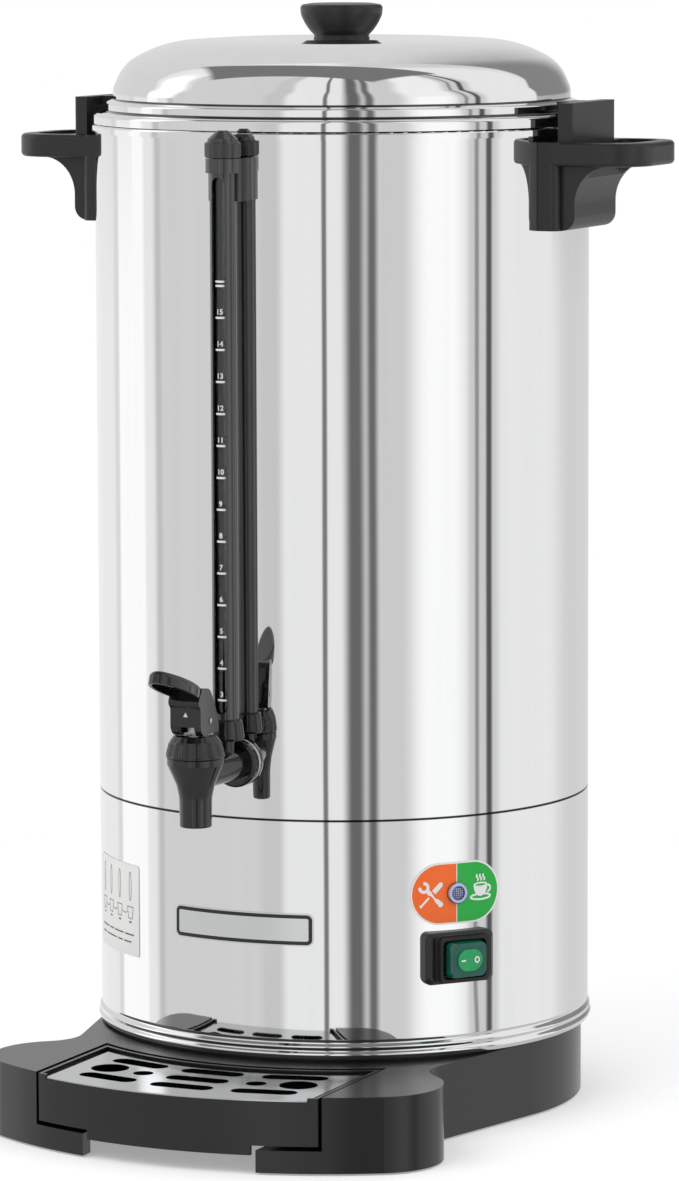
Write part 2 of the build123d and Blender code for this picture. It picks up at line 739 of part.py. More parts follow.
def make_seat_cup():
    """Silicone plug on the stem's lower end; it closes on the seat."""
    z = seat_z + seat_gap
    cup = turned(
        (0, z), (outlet_r - 1.5, z - 0.1), (cup_r - 0.3, z), (cup_r, z + 2.0), (stem_r + 1.2, z + 5.0),
        (stem_r + 1.2, z + cup_h), (0, z + cup_h), radii=(0, 0, 0.3, 0.8, 1.5, 0.3, 0),
    )
    return Pos(0, tap_y, 0) * (cup - tube(stem_r + 0.02, 0, z + 2, z + cup_h + 1))


def make_stem_spring():
    low = stem_collar_z + stem_collar_t + spring_wire + 0.1
    high = bonnet_top_z - bonnet_wall - spring_wire - 0.1
    coil_r = (stem_r + chamber_r) / 2
    helix = Helix(pitch=(high - low) / spring_turns, height=high - low, radius=coil_r, center=(0, tap_y, low))
    return sweep(Plane(origin=helix @ 0, z_dir=helix % 0) * Circle(spring_wire), path=helix)


def make_lever_pin():
    return along_x(pin_r, -lever_w / 2 - 0.4, lever_w / 2 + 0.4, tap_y, pivot_z)


def make_tap_lever():
    """Forked lever: cam foot on the bonnet, curved arm and dished paddle.

    The side profile is drawn with its first axis pointing forwards from the spout axis.
    """
    side = Plane((0, tap_y, 0), x_dir=(0, -1, 0), z_dir=(-1, 0, 0))
    cam_z = pivot_z - cam_drop
    cam_r = cam_z - bonnet_top_z - cam_gap
    foot = Pos(cam_ahead, cam_z) * Circle(cam_r)
    back = bonnet_top_z + 1.2
    cheek = make_face(FilletPolyline(
        (cam_ahead, back - 0.4), (lever_front, cam_z), (lever_front, lever_top_z), (15.5, lever_top_z + 3.2),
        (10, paddle_root_z + 6), (0, paddle_root_z + 4.6), (-6.4, lever_top_z), (-11, back + 3), (-10.5, back),
        radius=(0, 0, 2, 3, 3, 7, 12, 2, 1.2), close=True,
    ))
    arm = extrude(side * (foot + cheek), lever_w / 2, both=True)
    slope = degrees(asin((paddle_tip_z - paddle_root_z) / (paddle_reach - 4)))
    paddle_len = (paddle_reach - 4) / cos(radians(slope)) + 3
    middle_y = tap_y - (paddle_reach + 1) / 2
    middle_z = (paddle_root_z + paddle_tip_z) / 2 + 1.2
    leaf = Plane((0, middle_y, middle_z), x_dir=(1, 0, 0), z_dir=(0, sin(radians(slope)), cos(radians(slope))))
    blade = extrude(leaf * Ellipse(paddle_w / 2, paddle_len / 2), paddle_t / 2, both=True)
    blade = fillet(blade.faces().sort_by(Axis(leaf.origin, leaf.z_dir))[-1].edges(), paddle_round)
    hollow = Ellipse(paddle_w / 2 - paddle_rim, paddle_len / 2 - paddle_rim)
    blade -= extrude(leaf * Pos(0, 0, -paddle_t / 2 - 1) * hollow, paddle_hollow + 1)
    blade = fillet(blade.faces().sort_by(Axis(leaf.origin, leaf.z_dir))[0].edges(), 0.6)
    lever = arm + blade
    slot_top = pivot_z + 5.4
    half = stem_head_w / 2 + 3.6
    front = tap_y - half - lever_slot_reach
    lever -= block(-lever_slot_w / 2, lever_slot_w / 2, front, tap_y + half, bonnet_top_z - 1, slot_top)
    mouth = lever_mouth_w / 2
    lever -= block(-mouth, mouth, tap_y - lever_front - 5, tap_y, bonnet_top_z - 1, bonnet_top_z + lever_mouth_h)
    lever -= along_x(pin_r + pin_gap, -lever_w, lever_w, tap_y, pivot_z)
    return lever


# ---------------------------------------------------------------- level gauge
def make_gauge_glass():
    return tube(glass_r, glass_r - glass_wall, glass_low_z + 0.1, bracket_top_z - glass_seat, 0, gauge_y)


def make_gauge_guard():
    guard = tube(guard_r, guard_in_r, gauge_nut_top_z + 0.1, bracket_top_z - 0.2, 0, gauge_y)
    middle = (guard_slot_low_z + guard_slot_top_z) / 2
    slot = SlotOverall(guard_slot_top_z - guard_slot_low_z, guard_slot_w, rotation=90)
    front = Plane((0, gauge_y, middle), x_dir=(1, 0, 0), z_dir=(0, -1, 0))
    return guard - extrude(front * slot, guard_r + 2)


def make_gauge_nut():
    low, high = gauge_nut_low_z, gauge_nut_top_z
    nut = turned(
        (0, low), (gauge_nut_low_r - 0.8, low), (gauge_nut_low_r, low + 1.4),
        (gauge_nut_top_r, high - 0.8), (gauge_nut_top_r - 0.8, high), (0, high),
    )
    mean_r = (gauge_nut_low_r + gauge_nut_top_r) / 2
    groove = Pos(mean_r + 0.9, 0, (low + high) / 2) * Box(1.2, 0.9, high - low + 2)
    groove = groove.rotate(Axis((mean_r, 0, (low + high) / 2), (0, 1, 0)), -degrees(
        asin((gauge_nut_low_r - gauge_nut_top_r) / (high - low))))
    for i in range(gauge_nut_ribs):
        nut -= groove.rotate(Axis.Z, i * 360 / gauge_nut_ribs)
    nut -= tube(gauge_nut_bore, 0, low - 1, gauge_seal_z + gauge_seal_t)
    nut -= tube(glass_r + 0.3, 0, low, high + 1)
    return Pos(0, gauge_y, 0) * nut


def make_gauge_seals():
    lower = tube(gauge_nut_bore - fit_gap, glass_r + 0.05, gauge_seal_z + 0.05,
                 gauge_seal_z + gauge_seal_t - 0.05, 0, gauge_y)
    upper = tube(guard_in_r - 0.05, glass_r + 0.05, bracket_top_z - 8.0, bracket_top_z - 5.0, 0, gauge_y)
    return [lower, upper]


def make_gauge_bracket():
    """Bracket on the shell: a block behind the guard with a collar around its top."""
    half = bracket_w / 2
    stand = block(-half, half, gauge_y + 1.0, -body_r + 12, bracket_low_z, bracket_top_z)
    stand = fillet(stand.edges().filter_by(Axis.Z).group_by(Axis.Y)[0], 1.2)
    collar = tube(guard_r + fit_gap + collar_wall, 0, collar_low_z, bracket_top_z, 0, gauge_y)
    bracket = stand + collar
    bracket -= tube(guard_r + fit_gap, 0, bracket_low_z - 1, bracket_top_z + 1, 0, gauge_y)
    bracket -= tube(body_r + 0.05, 0, bracket_low_z - 5, bracket_top_z + 5)
    return bracket - along_y(bracket_screw_r + 0.05, -body_r - bracket_screw_grip, -body_r + 5, bracket_screw_z)


def make_bracket_screw():
    face = -body_in_r + 0.05
    head = along_y(bracket_screw_head_r, face, face + bracket_screw_head_h, bracket_screw_z)
    return head + along_y(bracket_screw_r, face, -body_r - bracket_screw_grip + 0.6, bracket_screw_z)


def make_gauge_cap():
    """Knurled cap with two rings and a cone; its plug turns in the guard."""
    z = bracket_top_z + 0.3
    knurl_top = z + cap_knurl_h
    cone_low = knurl_top + 1.8
    cap = turned(
        (0, z), (cap_r - 0.4, z), (cap_r, z + 0.4), (cap_r, knurl_top - 0.5), (cap_r - 0.5, knurl_top),
        (cap_cone_low_r + 0.4, knurl_top), (cap_cone_low_r + 0.4, knurl_top + 0.6),
        (cap_cone_low_r - 0.2, knurl_top + 0.6), (cap_cone_low_r - 0.2, knurl_top + 1.0),
        (cap_cone_low_r, knurl_top + 1.0), (cap_cone_low_r, cone_low),
        (cap_cone_top_r, z + cap_knurl_h + cap_cone_h), (0, z + cap_knurl_h + cap_cone_h),
    )
    plug = tube(guard_in_r - fit_gap, 0, bracket_top_z - 4.2, z + 0.5)
    return Pos(0, gauge_y, 0) * (cap + plug)


# ---------------------------------------------------------------- control panel and labels
def make_lamp_bezel():
    face = wall_plane(panel_az, lamp_z)
    ring = Circle(lamp_r) - Circle(lens_r + fit_gap)
    bezel = extrude(face * Pos(0, 0, label_t + 0.25) * ring, 2.0)
    outer = bezel.edges().filter_by(GeomType.CIRCLE).sort_by(lambda e: -e.radius)[:2]
    bezel = fillet(outer.sort_by(lambda e: -(e.center() - face.origin).dot(face.z_dir))[:1], 0.9)
    shank = extrude(face * Pos(0, 0, -lamp_shank_len) * (Circle(lamp_shank_r) - Circle(lens_r + fit_gap)),
                    lamp_shank_len + 1.0)
    return bezel + shank


def make_lamp_lens():
    face = wall_plane(panel_az, lamp_z)
    barrel = extrude(face * Pos(0, 0, -lamp_shank_len + 1) * Circle(lens_r), lamp_shank_len + 0.6)
    dome = face * Pos(0, 0, 1.6 - 6.0) * Sphere(7.2)
    keep = extrude(face * Pos(0, 0, 1.0) * Circle(lens_r), 4)
    return barrel + (dome & keep)


def make_panel_label():
    outline = SlotOverall(panel_label_w, panel_label_h) - Circle(lamp_shank_r + 0.4)
    return wrapped_label(outline, panel_az, lamp_z)


def make_badge_plate():
    return wrapped_label(RectangleRounded(badge_w, badge_h, 4), 0, badge_z)


def make_side_label():
    return wrapped_label(RectangleRounded(side_label_w, side_label_h, 2), side_label_az, side_label_z)


def make_switch_bezel():
    """Plinth that follows the round wall, with crowned sides."""
    face = wall_plane(panel_az, switch_z)
    foot = extrude(face * Pos(0, 0, -4) * RectangleRounded(switch_w, switch_h, 4), 4 + switch_plinth - 2)
    crown = loft([
        (face * Pos(0, 0, switch_plinth - 2) * RectangleRounded(switch_w, switch_h, 4)).face(),
        (face * Pos(0, 0, switch_plinth) * RectangleRounded(switch_w - 4, switch_h - 4, 3.5)).face(),
    ])
    bezel = foot + crown
    bezel -= extrude(face * Pos(0, 0, -10) * Rectangle(switch_body_w + 0.6, switch_body_h + 0.6), 30)
    axle = (face * Pos(0, 0, rocker_axis_out)).position
    reach = rocker_axle_half + 0.3
    bezel -= tube(rocker_axle_r + axle_gap, 0, switch_z - reach, switch_z + reach, axle.X, axle.Y)
    return bezel - tube(body_r + 0.1, 0, switch_z - 40, switch_z + 40)


def make_switch_boot():
    """Stepped rubber collar around the rocker."""
    face = wall_plane(panel_az, switch_z)
    low = switch_plinth + 0.05
    boot = extrude(face * Pos(0, 0, low) * RectangleRounded(boot_w + 3, boot_h + 1.6, 3.5), 2.4)
    boot += extrude(face * Pos(0, 0, low + 2.3) * RectangleRounded(boot_w, boot_h, 3), boot_out - low - 2.3, taper=4)
    return boot - extrude(face * Pos(0, 0, low - 1) * RectangleRounded(rocker_w + 1.2, rocker_h + 1.0, 3), 20)


def make_switch_body():
    face = wall_plane(panel_az, switch_z)
    half_depth = switch_body_depth
    proud = 1.6
    shell = extrude(face * Pos(0, 0, -half_depth) * Rectangle(switch_body_w, switch_body_h), half_depth + proud)
    for x in (-6, 6):
        for y in (-5, 5):
            shell += extrude(face * Pos(x, y, -half_depth - 7) * Rectangle(0.8, 4.8), 7.5)
    return shell


def make_rocker():
    """Rocker with a raised island; at rest its right-hand side is pressed in."""
    face = wall_plane(panel_az, switch_z)
    low = 3.2
    body = loft([
        (face * Pos(0, 0, low) * RectangleRounded(rocker_w - 5, rocker_h - 3, 2)).face(),
        (face * Pos(0, 0, boot_out - 1) * RectangleRounded(rocker_w - 2.2, rocker_h - 0.8, 3)).face(),
    ])
    body += loft([
        (face * Pos(0, 0, boot_out - 1) * RectangleRounded(rocker_w - 2.2, rocker_h - 0.8, 3)).face(),
        (face * Pos(0, 0, rocker_out - island_t) * RectangleRounded(rocker_w - 3.4, rocker_h - 2, 3.6)).face(),
    ])
    body += extrude(face * Pos(0, 0, rocker_out - island_t - 0.1) * SlotOverall(island_w, island_h), island_t + 0.1)
    axle = (face * Pos(0, 0, rocker_axis_out)).position
    body += tube(rocker_axle_r, 0, switch_z - rocker_axle_half, switch_z + rocker_axle_half, axle.X, axle.Y)
    return body.rotate(Axis(axle, (0, 0, 1)), rocker_rest_tilt)


# ---------------------------------------------------------------- percolator
def make_percolator_tube():
    z = well_z + seat_gap
    foot = pressed([(pump_foot_r, z), (pump_foot_r - 1.5, z + 4), (tube_r + 0.2, z + pump_foot_h),
                    (tube_r + 0.2, z + pump_foot_h + 5)], (4, 10), side=Side.LEFT)
    riser = tube(tube_r, tube_r - tube_wall, z + pump_foot_h - 2, tube_top_z)
    stop = turned(
        (tube_r - 0.2, basket_z - seat_gap - 3), (basket_stop_r, basket_z - seat_gap - 1.5),
        (basket_stop_r, basket_z - seat_gap), (tube_r - 0.2, basket_z - seat_gap),
    )
    return foot + riser + stop


def make_brew_basket():
    sleeve_r = tube_r + 0.4
    cup = pressed([(sleeve_r, basket_z + basket_sleeve_h), (sleeve_r, basket_z), (basket_r, basket_z),
                   (basket_r + 1.5, basket_z + basket_h), (basket_r + 4.0, basket_z + basket_h)],
                  (1.0, 6.0, 0.8), side=Side.LEFT)
    for share, count in ((0.4, 10), (0.7, 16)):
        for i in range(count):
            x, y, _ = polar(share * basket_r, i * 360 / count)
            cup -= Pos(x, y, basket_z + sheet / 2) * Box(basket_hole_w, basket_hole_w, 6)
    return cup


def make_basket_cover():
    z = basket_z + basket_h + sheet + seat_gap
    cover = pressed([(tube_r + 0.4, z + cover_h + 3), (tube_r + 0.4, z + cover_h - 2), (basket_r - 14, z + cover_h - 2),
                     (basket_r - 6, z), (basket_r + 3.5, z)], (1.0, 3.0, 2.0), side=Side.LEFT)
    for i in range(12):
        x, y, _ = polar(0.6 * basket_r, i * 30)
        cover -= tube(spreader_hole_r, 0, z - 2, z + cover_h + 4, x, y)
    return cover


# ---------------------------------------------------------------- base and drip tray
def base_plan(inset=0.0):
    """Plan of the base: round rear, sides drawn in to a waist, lobed bowed front."""
    t = radians(side_tangent_deg)
    rear_r, arc_r, nose_r = ring_r - inset, front_arc_r - inset, lobe_r - inset
    out = Vector(cos(t), -sin(t))
    ahead = Vector(-sin(t), -cos(t))
    lobe = Vector(lobe_x, -lobe_y)
    front_centre = Vector(0, -front_centre_y)
    start = out * (ring_r + waist_round)
    to_lobe = start - lobe
    half_b = to_lobe.dot(ahead)
    run = -half_b - sqrt(half_b ** 2 - to_lobe.dot(to_lobe) + (lobe_r + waist_round) ** 2)
    waist = start + ahead * run
    waist_r = waist_round + inset
    to_nose = (lobe - waist).normalized()
    nose_front = (lobe - front_centre).normalized()
    side_end = waist - out * waist_r
    nose_start = waist + to_nose * waist_r
    nose_end = lobe + nose_front * nose_r
    tip = front_centre + Vector(0, -arc_r)
    half = [
        ThreePointArc(Vector(0, rear_r), Vector(rear_r * cos(0.6), rear_r * sin(0.6)), out * rear_r),
        Line(out * rear_r, side_end),
        ThreePointArc(side_end, waist + (to_nose - out).normalized() * waist_r, nose_start),
        ThreePointArc(nose_start, lobe + (nose_front - to_nose).normalized() * nose_r, nose_end),
        ThreePointArc(nose_end, front_centre + (nose_front + Vector(0, -1)).normalized() * arc_r, tip),
    ]
    return make_face(half + [mirror(edge, Plane.YZ) for edge in half])


def front_band(width_half, low, high, inset=0.0, depth=60.0):
    """Space in front of the bay: between the sides, inside the front arc."""
    disc = Pos(0, -front_centre_y) * Circle(front_arc_r - inset)
    strip = Pos(0, -front_y + depth / 2) * Rectangle(2 * width_half, depth)
    return extrude(Plane((0, 0, low)) * (disc & strip), high - low)


def bay_plan(clear=0.0, front_inset=0.0):
    """Plan of the tray: straight sides, back concentric with the body, bowed front."""
    disc = Pos(0, -front_centre_y) * Circle(front_arc_r - front_inset)
    strip = Pos(0, -front_y / 2) * Rectangle(2 * (bay_half_w - clear), front_y)
    return (disc & strip) - Circle(bay_back_r + clear)


def make_base_ring():
    """Skirt, deck and seat ring in one moulding, with an open-fronted bay for the tray."""
    skirt = extrude(Plane((0, 0, base_clear_z)) * base_plan(), base_h - base_clear_z)
    base = skirt - extrude(Plane((0, 0, base_clear_z - 1)) * base_plan(base_wall), bay_top_z - base_clear_z + 1)
    base += tube(body_r - base_wall, lip_r - seat_ring_h, base_h - seat_ring_h / 2, base_h + seat_ring_h)
    base -= tube(deck_hole_r, 0, bay_top_z - base_deck_t, base_h + base_deck_t)
    base += extrude(Plane((0, 0, base_clear_z)) * bay_plan(-base_wall), base_h - base_clear_z) & skirt
    base -= extrude(Plane((0, 0, bay_floor_z)) * bay_plan(front_inset=-bay_front_skin), base_h)
    base -= extrude(Plane((0, 0, base_clear_z - 1)) * bay_plan(0, bay_front_skin),
                    bay_floor_z - bay_floor_t - base_clear_z + 1)
    base -= block(-foot_gap_half_w, foot_gap_half_w, -front_y - tray_gap, -bay_back_r + base_wall,
                  base_clear_z - 1, bay_floor_z + 1)
    for s in (1, -1):
        x0, x1 = sorted((s * (rail_x - rail_w / 2), s * (rail_x + rail_w / 2)))
        base += block(x0, x1, -front_y + 30, -bay_back_r - 6, bay_floor_z - 0.1, tray_low_z - 0.2)
    for x, y in pad_points():
        boss = tube(foot_pad_r + pad_boss_wall, 0, foot_pad_h, bay_top_z + 0.1, x, y)
        base += boss - tube(foot_plug_r + fit_gap, 0, 0, foot_pad_h + foot_plug_h + 1, x, y)
    for angle in base_screw_angles:
        x, y, _ = polar(base_screw_ring_r, angle)
        base -= tube(base_screw_r + seat_gap, 0, bay_top_z - 1, base_h + seat_ring_h + 1, x, y)
    return base


def pad_points():
    return [(s * x, y) for x, y in (front_pad, rear_pad) for s in (1, -1)]


def make_rubber_feet():
    return [
        tube(foot_pad_r, 0, 0, foot_pad_h, x, y) + tube(foot_plug_r, 0, foot_pad_h, foot_pad_h + foot_plug_h, x, y)
        for x, y in pad_points()
    ]


def make_drip_tray():
    shell = extrude(Plane((0, 0, tray_low_z)) * bay_plan(tray_gap), tray_rim_z - tray_low_z)
    hollow = extrude(Plane((0, 0, tray_low_z + tray_wall)) * bay_plan(tray_gap + tray_wall, tray_wall),
                     tray_rim_z - tray_low_z)
    tray = shell - hollow
    ledge = bay_plan(tray_gap + 0.5, 0.5) - bay_plan(tray_gap + grille_inset + 1.5, tray_wall + 2)
    tray += extrude(Plane((0, 0, grille_z - grille_t - 2.2)) * ledge, 2.1)
    apron = front_band(tray_drop_half_w, tray_drop_z, tray_low_z + 1, depth=40)
    apron -= front_band(tray_drop_half_w + 1, tray_drop_z - 1, tray_low_z, inset=tray_wall, depth=80)
    tray += apron
    return tray - extrude(Plane((0, 0, grille_z - grille_t - 0.1)) * bay_plan(tray_gap + grille_inset - 0.4, -1), 20)


def bowed(y_front, x):
    """Station of a grille row at x: rows bow about a point on the centre line."""
    reach = y_front + slot_bow_y
    return slot_bow_y - sqrt(reach ** 2 - x ** 2), degrees(asin(x / reach))


def make_drip_grille():
    plan = bay_plan(tray_gap + grille_inset, 0.6)
    for row, y_front in enumerate(slot_row_y):
        columns = (0,) if row == 1 else (-slot_x, 0, slot_x)
        for x in columns:
            y, turn = bowed(y_front, x)
            plan -= Pos(x, y) * Rot(0, 0, turn) * SlotOverall(slot_len, slot_w)
    for s in (1, -1):
        for x, r in ((small_hole_x, small_hole_r), (big_hole_x, big_hole_r)):
            y, _ = bowed(slot_row_y[1], x)
            plan -= Pos(s * x, y) * Circle(r)
    return extrude(Plane((0, 0, grille_z - grille_t)) * plan, grille_t)


# ---------------------------------------------------------------- electrical and bottom parts
def make_base_screws():
    screws = []
    for angle in base_screw_angles:
        x, y, _ = polar(base_screw_ring_r, angle)
        head = tube(base_screw_head_r, 0, bay_top_z - base_screw_head_h, bay_top_z, x, y)
        screws.append(head + tube(base_screw_r, 0, bay_top_z, floor_plate_z + plate_t + base_nut_t + base_screw_r / 2, x, y))
    return screws


def make_base_nuts():
    nuts = []
    low = floor_plate_z + plate_t
    for angle in base_screw_angles:
        x, y, _ = polar(base_screw_ring_r, angle)
        nut = extrude(Plane((x, y, low)) * RegularPolygon(base_nut_flat / 2, 6, major_radius=False), base_nut_t)
        nuts.append(nut - tube(base_screw_r + slip, 0, low - 1, low + base_nut_t + 1, x, y))
    return nuts


def make_cable_gland():
    wall = body_r + 0.3
    hexagon = Plane((0, wall, gland_z), x_dir=(1, 0, 0), z_dir=(0, 1, 0)) * RegularPolygon(gland_flat / 2, 6, major_radius=False)
    gland = extrude(hexagon, 5)
    dome = along_y(gland_r + 1.8, wall + 4.9, wall + 15, gland_z)
    dome = fillet(dome.edges().group_by(Axis.Y)[-1], 4)
    gland += dome + along_y(gland_r, body_in_r - 12, wall + 1, gland_z)
    return gland - along_y(gland_bore_r, body_in_r - 20, wall + 20, gland_z)


def make_gland_nut():
    face = body_in_r - 1.4
    plane = Plane((0, face - 4.5, gland_z), x_dir=(1, 0, 0), z_dir=(0, 1, 0))
    nut = extrude(plane * RegularPolygon(gland_flat / 2 - 0.5, 6, major_radius=False), 4.5)
    return nut - along_y(gland_r + 0.05, face - 6, face + 1, gland_z)


def make_brew_heater():
    top = well_z - sheet
    heater = tube(heater_r, 0, top - heater_h, top - 0.05)
    for x in (-9, 9):
        heater += block(x - 0.4, x + 0.4, -3, 3, top - heater_h - 9, top - heater_h + 0.1)
    return heater


def make_warming_ring():
    half = ring_heater_w / 2
    top = tank_under_z - slip
    low, bevel = top - ring_heater_h, ring_heater_w / 4.5
    return turned(
        (ring_heater_r - half, low + bevel), (ring_heater_r - half + bevel, low), (ring_heater_r + half - bevel, low),
        (ring_heater_r + half, low + bevel), (ring_heater_r + half, top), (ring_heater_r - half, top),
    )


def clamp_top():
    return tank_under_z - 2 * slip - ring_heater_h


def make_element_clamp():
    """Plate that presses the ring heater to the tank floor."""
    top = clamp_top()
    plate = tube(clamp_r, heater_r + thermostat_r, top - clamp_t, top)
    for angle in stud_circle:
        x, y, _ = polar(stud_ring_r, angle)
        plate -= tube(stud_r + 2 * fit_gap, 0, top - clamp_t - 1, top + 1, x, y)
    x, y, _ = thermostat_point()
    return plate - tube(thermostat_r * 1.35, 0, top - clamp_t - 1, top + 1, x, y)


def thermostat_point():
    return polar(stud_ring_r + stud_r, (stud_circle[1] + stud_circle[2]) / 2)


def make_clamp_studs():
    studs = []
    low = clamp_top() - clamp_t - slip
    for angle in stud_circle:
        x, y, _ = polar(stud_ring_r, angle)
        rod = tube(stud_r, 0, low - 1.5 * stud_nut_t, tank_under_z - 0.02, x, y)
        nut = extrude(Plane((x, y, low - stud_nut_t)) * RegularPolygon(stud_nut_flat / 2, 6, major_radius=False), stud_nut_t)
        studs.append(rod + nut)
    return studs


def make_thermostat():
    x, y, _ = thermostat_point()
    top = tank_under_z - 0.05
    body = tube(thermostat_r, 0, top - thermostat_h, top, x, y)
    for dx in (-4.5, 4.5):
        body += block(x + dx - 0.4, x + dx + 0.4, y - 2.4, y + 2.4, top - thermostat_h - 8, top - thermostat_h + 0.1)
    return body


def make_dry_boil_cutout():
    x, y = cutout_at
    low = floor_plate_z + plate_t + 0.05
    body = tube(cutout_r, 0, low, low + cutout_h, x, y)
    body -= tube(button_r + fit_gap, 0, low - 1, low + button_well_h, x, y)
    for dx in (-5, 5):
        body += block(x + dx - 0.4, x + dx + 0.4, y - 2.4, y + 2.4, low + cutout_h - 0.1, low + cutout_h + 7)
    return body


def make_reset_button():
    x, y = cutout_at
    top = floor_plate_z + plate_t + slip + button_well_h - button_travel
    button = tube(button_r, 0, floor_plate_z - button_out, top, x, y)
    return fillet(button.edges().group_by(Axis.Z)[0], 0.3 * button_r)


def make_terminal_block():
    low = floor_plate_z + plate_t + slip
    body = block(-terminal_w / 2, terminal_w / 2, terminal_y, terminal_y + terminal_d, low, low + terminal_h)
    for i in range(4):
        x = (i - 1.5) * terminal_w / 4
        body -= tube(2.2, 0, low + 5, low + terminal_h + 1, x, terminal_y + 5)
        body -= along_y(2.4, terminal_y - 2, terminal_y + terminal_d + 2, low + 5, x)
    return body


# ---------------------------------------------------------------- writing the pieces
pieces = {
    "outer_shell": make_outer_shell,
    "lower_band": make_lower_band,
    "inner_tank": make_inner_tank,
    "bottom_plate": make_bottom_plate,
    "lid_shell": make_lid_shell,
    "lid_locating_ring": make_lid_locating_ring,
    "lid_knob": make_lid_knob,
    "knob_screw": make_knob_screw,
    "knob_washer": make_knob_washer,
    "handle_screws": make_handle_screws,
    "tap_body": make_tap_body,
    "tap_washer": make_tap_washer,
    "tank_washer": make_tank_washer,
    "tap_nut": make_tap_nut,
    "tap_bonnet": make_tap_bonnet,
    "tap_stem": make_tap_stem,
    "seat_cup": make_seat_cup,
    "stem_spring": make_stem_spring,
    "lever_pin": make_lever_pin,
    "tap_lever": make_tap_lever,
    "gauge_glass": make_gauge_glass,
    "gauge_guard": make_gauge_guard,
    "gauge_nut": make_gauge_nut,
    "gauge_seals": make_gauge_seals,
    "gauge_bracket": make_gauge_bracket,
    "bracket_screw": make_bracket_screw,
    "gauge_cap": make_gauge_cap,
    "lamp_bezel": make_lamp_bezel,
    "lamp_lens": make_lamp_lens,
    "panel_label": make_panel_label,
    "badge_plate": make_badge_plate,
    "side_label": make_side_label,
    "switch_bezel": make_switch_bezel,
    "switch_boot": make_switch_boot,
    "switch_body": make_switch_body,
    "rocker": make_rocker,
    "percolator_tube": make_percolator_tube,
    "brew_basket": make_brew_basket,
    "basket_cover": make_basket_cover,
    "base_ring": make_base_ring,
    "rubber_feet": make_rubber_feet,
    "drip_tray": make_drip_tray,
    "drip_grille": make_drip_grille,
    "base_screws": make_base_screws,
    "base_nuts": make_base_nuts,
    "cable_gland": make_cable_gland,
    "gland_nut": make_gland_nut,
    "brew_heater": make_brew_heater,
    "warming_ring": make_warming_ring,
    "element_clamp": make_element_clamp,
    "clamp_studs": make_clamp_studs,
    "thermostat": make_thermostat,
    "dry_boil_cutout": make_dry_boil_cutout,
    "reset_button": make_reset_button,
    "terminal_block": make_terminal_block,
}

for name, make in pieces.items():
    save(name, make())

right = make_handle()
save("handle_right", right)
save("handle_left", mirror(right, Plane.YZ))
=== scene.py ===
"""Looks of the coffee urn: polished body, black mouldings, printed scale and panel.

Metres, +Z up, the tap faces -Y. Sizes are named in millimetres and turned to metres where used.
"""
import json
from math import atan2, cos, hypot, pi, radians, sin, tan

import bmesh
import bpy
from mathutils import Matrix, Quaternion, Vector
from mathutils.bvhtree import BVHTree


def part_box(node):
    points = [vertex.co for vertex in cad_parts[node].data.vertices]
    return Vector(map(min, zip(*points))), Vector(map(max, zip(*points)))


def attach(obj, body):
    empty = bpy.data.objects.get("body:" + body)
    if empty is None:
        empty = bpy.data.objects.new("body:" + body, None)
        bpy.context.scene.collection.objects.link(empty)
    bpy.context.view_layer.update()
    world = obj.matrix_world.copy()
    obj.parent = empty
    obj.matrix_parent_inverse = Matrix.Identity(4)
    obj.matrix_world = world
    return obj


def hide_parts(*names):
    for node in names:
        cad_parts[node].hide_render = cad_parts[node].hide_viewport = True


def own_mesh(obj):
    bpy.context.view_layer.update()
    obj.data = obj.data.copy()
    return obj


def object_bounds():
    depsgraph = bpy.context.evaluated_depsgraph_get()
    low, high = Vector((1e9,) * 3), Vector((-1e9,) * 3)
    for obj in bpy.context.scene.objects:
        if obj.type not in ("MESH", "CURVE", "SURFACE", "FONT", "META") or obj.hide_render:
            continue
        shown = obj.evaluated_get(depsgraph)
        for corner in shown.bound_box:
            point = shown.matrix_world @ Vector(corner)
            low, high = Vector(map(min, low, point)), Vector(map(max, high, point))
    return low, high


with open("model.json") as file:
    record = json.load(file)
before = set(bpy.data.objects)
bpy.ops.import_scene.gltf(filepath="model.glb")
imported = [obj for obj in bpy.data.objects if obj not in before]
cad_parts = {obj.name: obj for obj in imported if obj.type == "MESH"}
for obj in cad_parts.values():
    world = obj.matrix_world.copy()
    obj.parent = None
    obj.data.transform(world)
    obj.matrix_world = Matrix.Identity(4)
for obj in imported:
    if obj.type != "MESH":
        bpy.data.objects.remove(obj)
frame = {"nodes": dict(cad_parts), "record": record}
cad_low, cad_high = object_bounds()

MM = 0.001
nodes = frame["nodes"]
slot_of = {part["node"]: part["material_slot"] for part in frame["record"]["subparts"]}


# ---------------------------------------- sizes in millimetres
def extent(name):
    """Lowest and highest corner of a CAD node, in millimetres."""
    low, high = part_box(name)
    return [v / MM for v in low], [v / MM for v in high]


def heights(name):
    """Lowest and highest point of a CAD node."""
    low, high = extent(name)
    return low[2], high[2]


def middle_y(name):
    """Middle of a CAD node from front to back."""
    low, high = extent(name)
    return (low[1] + high[1]) / 2


def turned_radius(name):
    """Largest radius of an upright turned CAD node."""
    low, high = extent(name)
    return (high[0] - low[0]) / 2


body_r = 145.0
shell_low, shell_high = heights("outer_shell")
rim_in, rim_out = 134.0, 136.0     # the tank's wall turns into its rolled rim between these radii
gauge_y, glass_r = middle_y("gauge_glass"), turned_radius("gauge_glass")
tap_y = middle_y("seat_cup")
bonnet_low, bonnet_high = heights("tap_bonnet")
bonnet_r = turned_radius("tap_bonnet")

lid_low, lid_high = heights("lid_shell")
lid_r = extent("lid_shell")[1][0]
flange_h, flange_roll = 6.2, 0.9   # upright flange and the roll on top of it
step_h, step_fillet = 6.0, 1.6     # ring between the flange and the dome
flange_top = lid_low + flange_h + flange_roll
dome_z = lid_low + flange_h + step_h + step_fillet
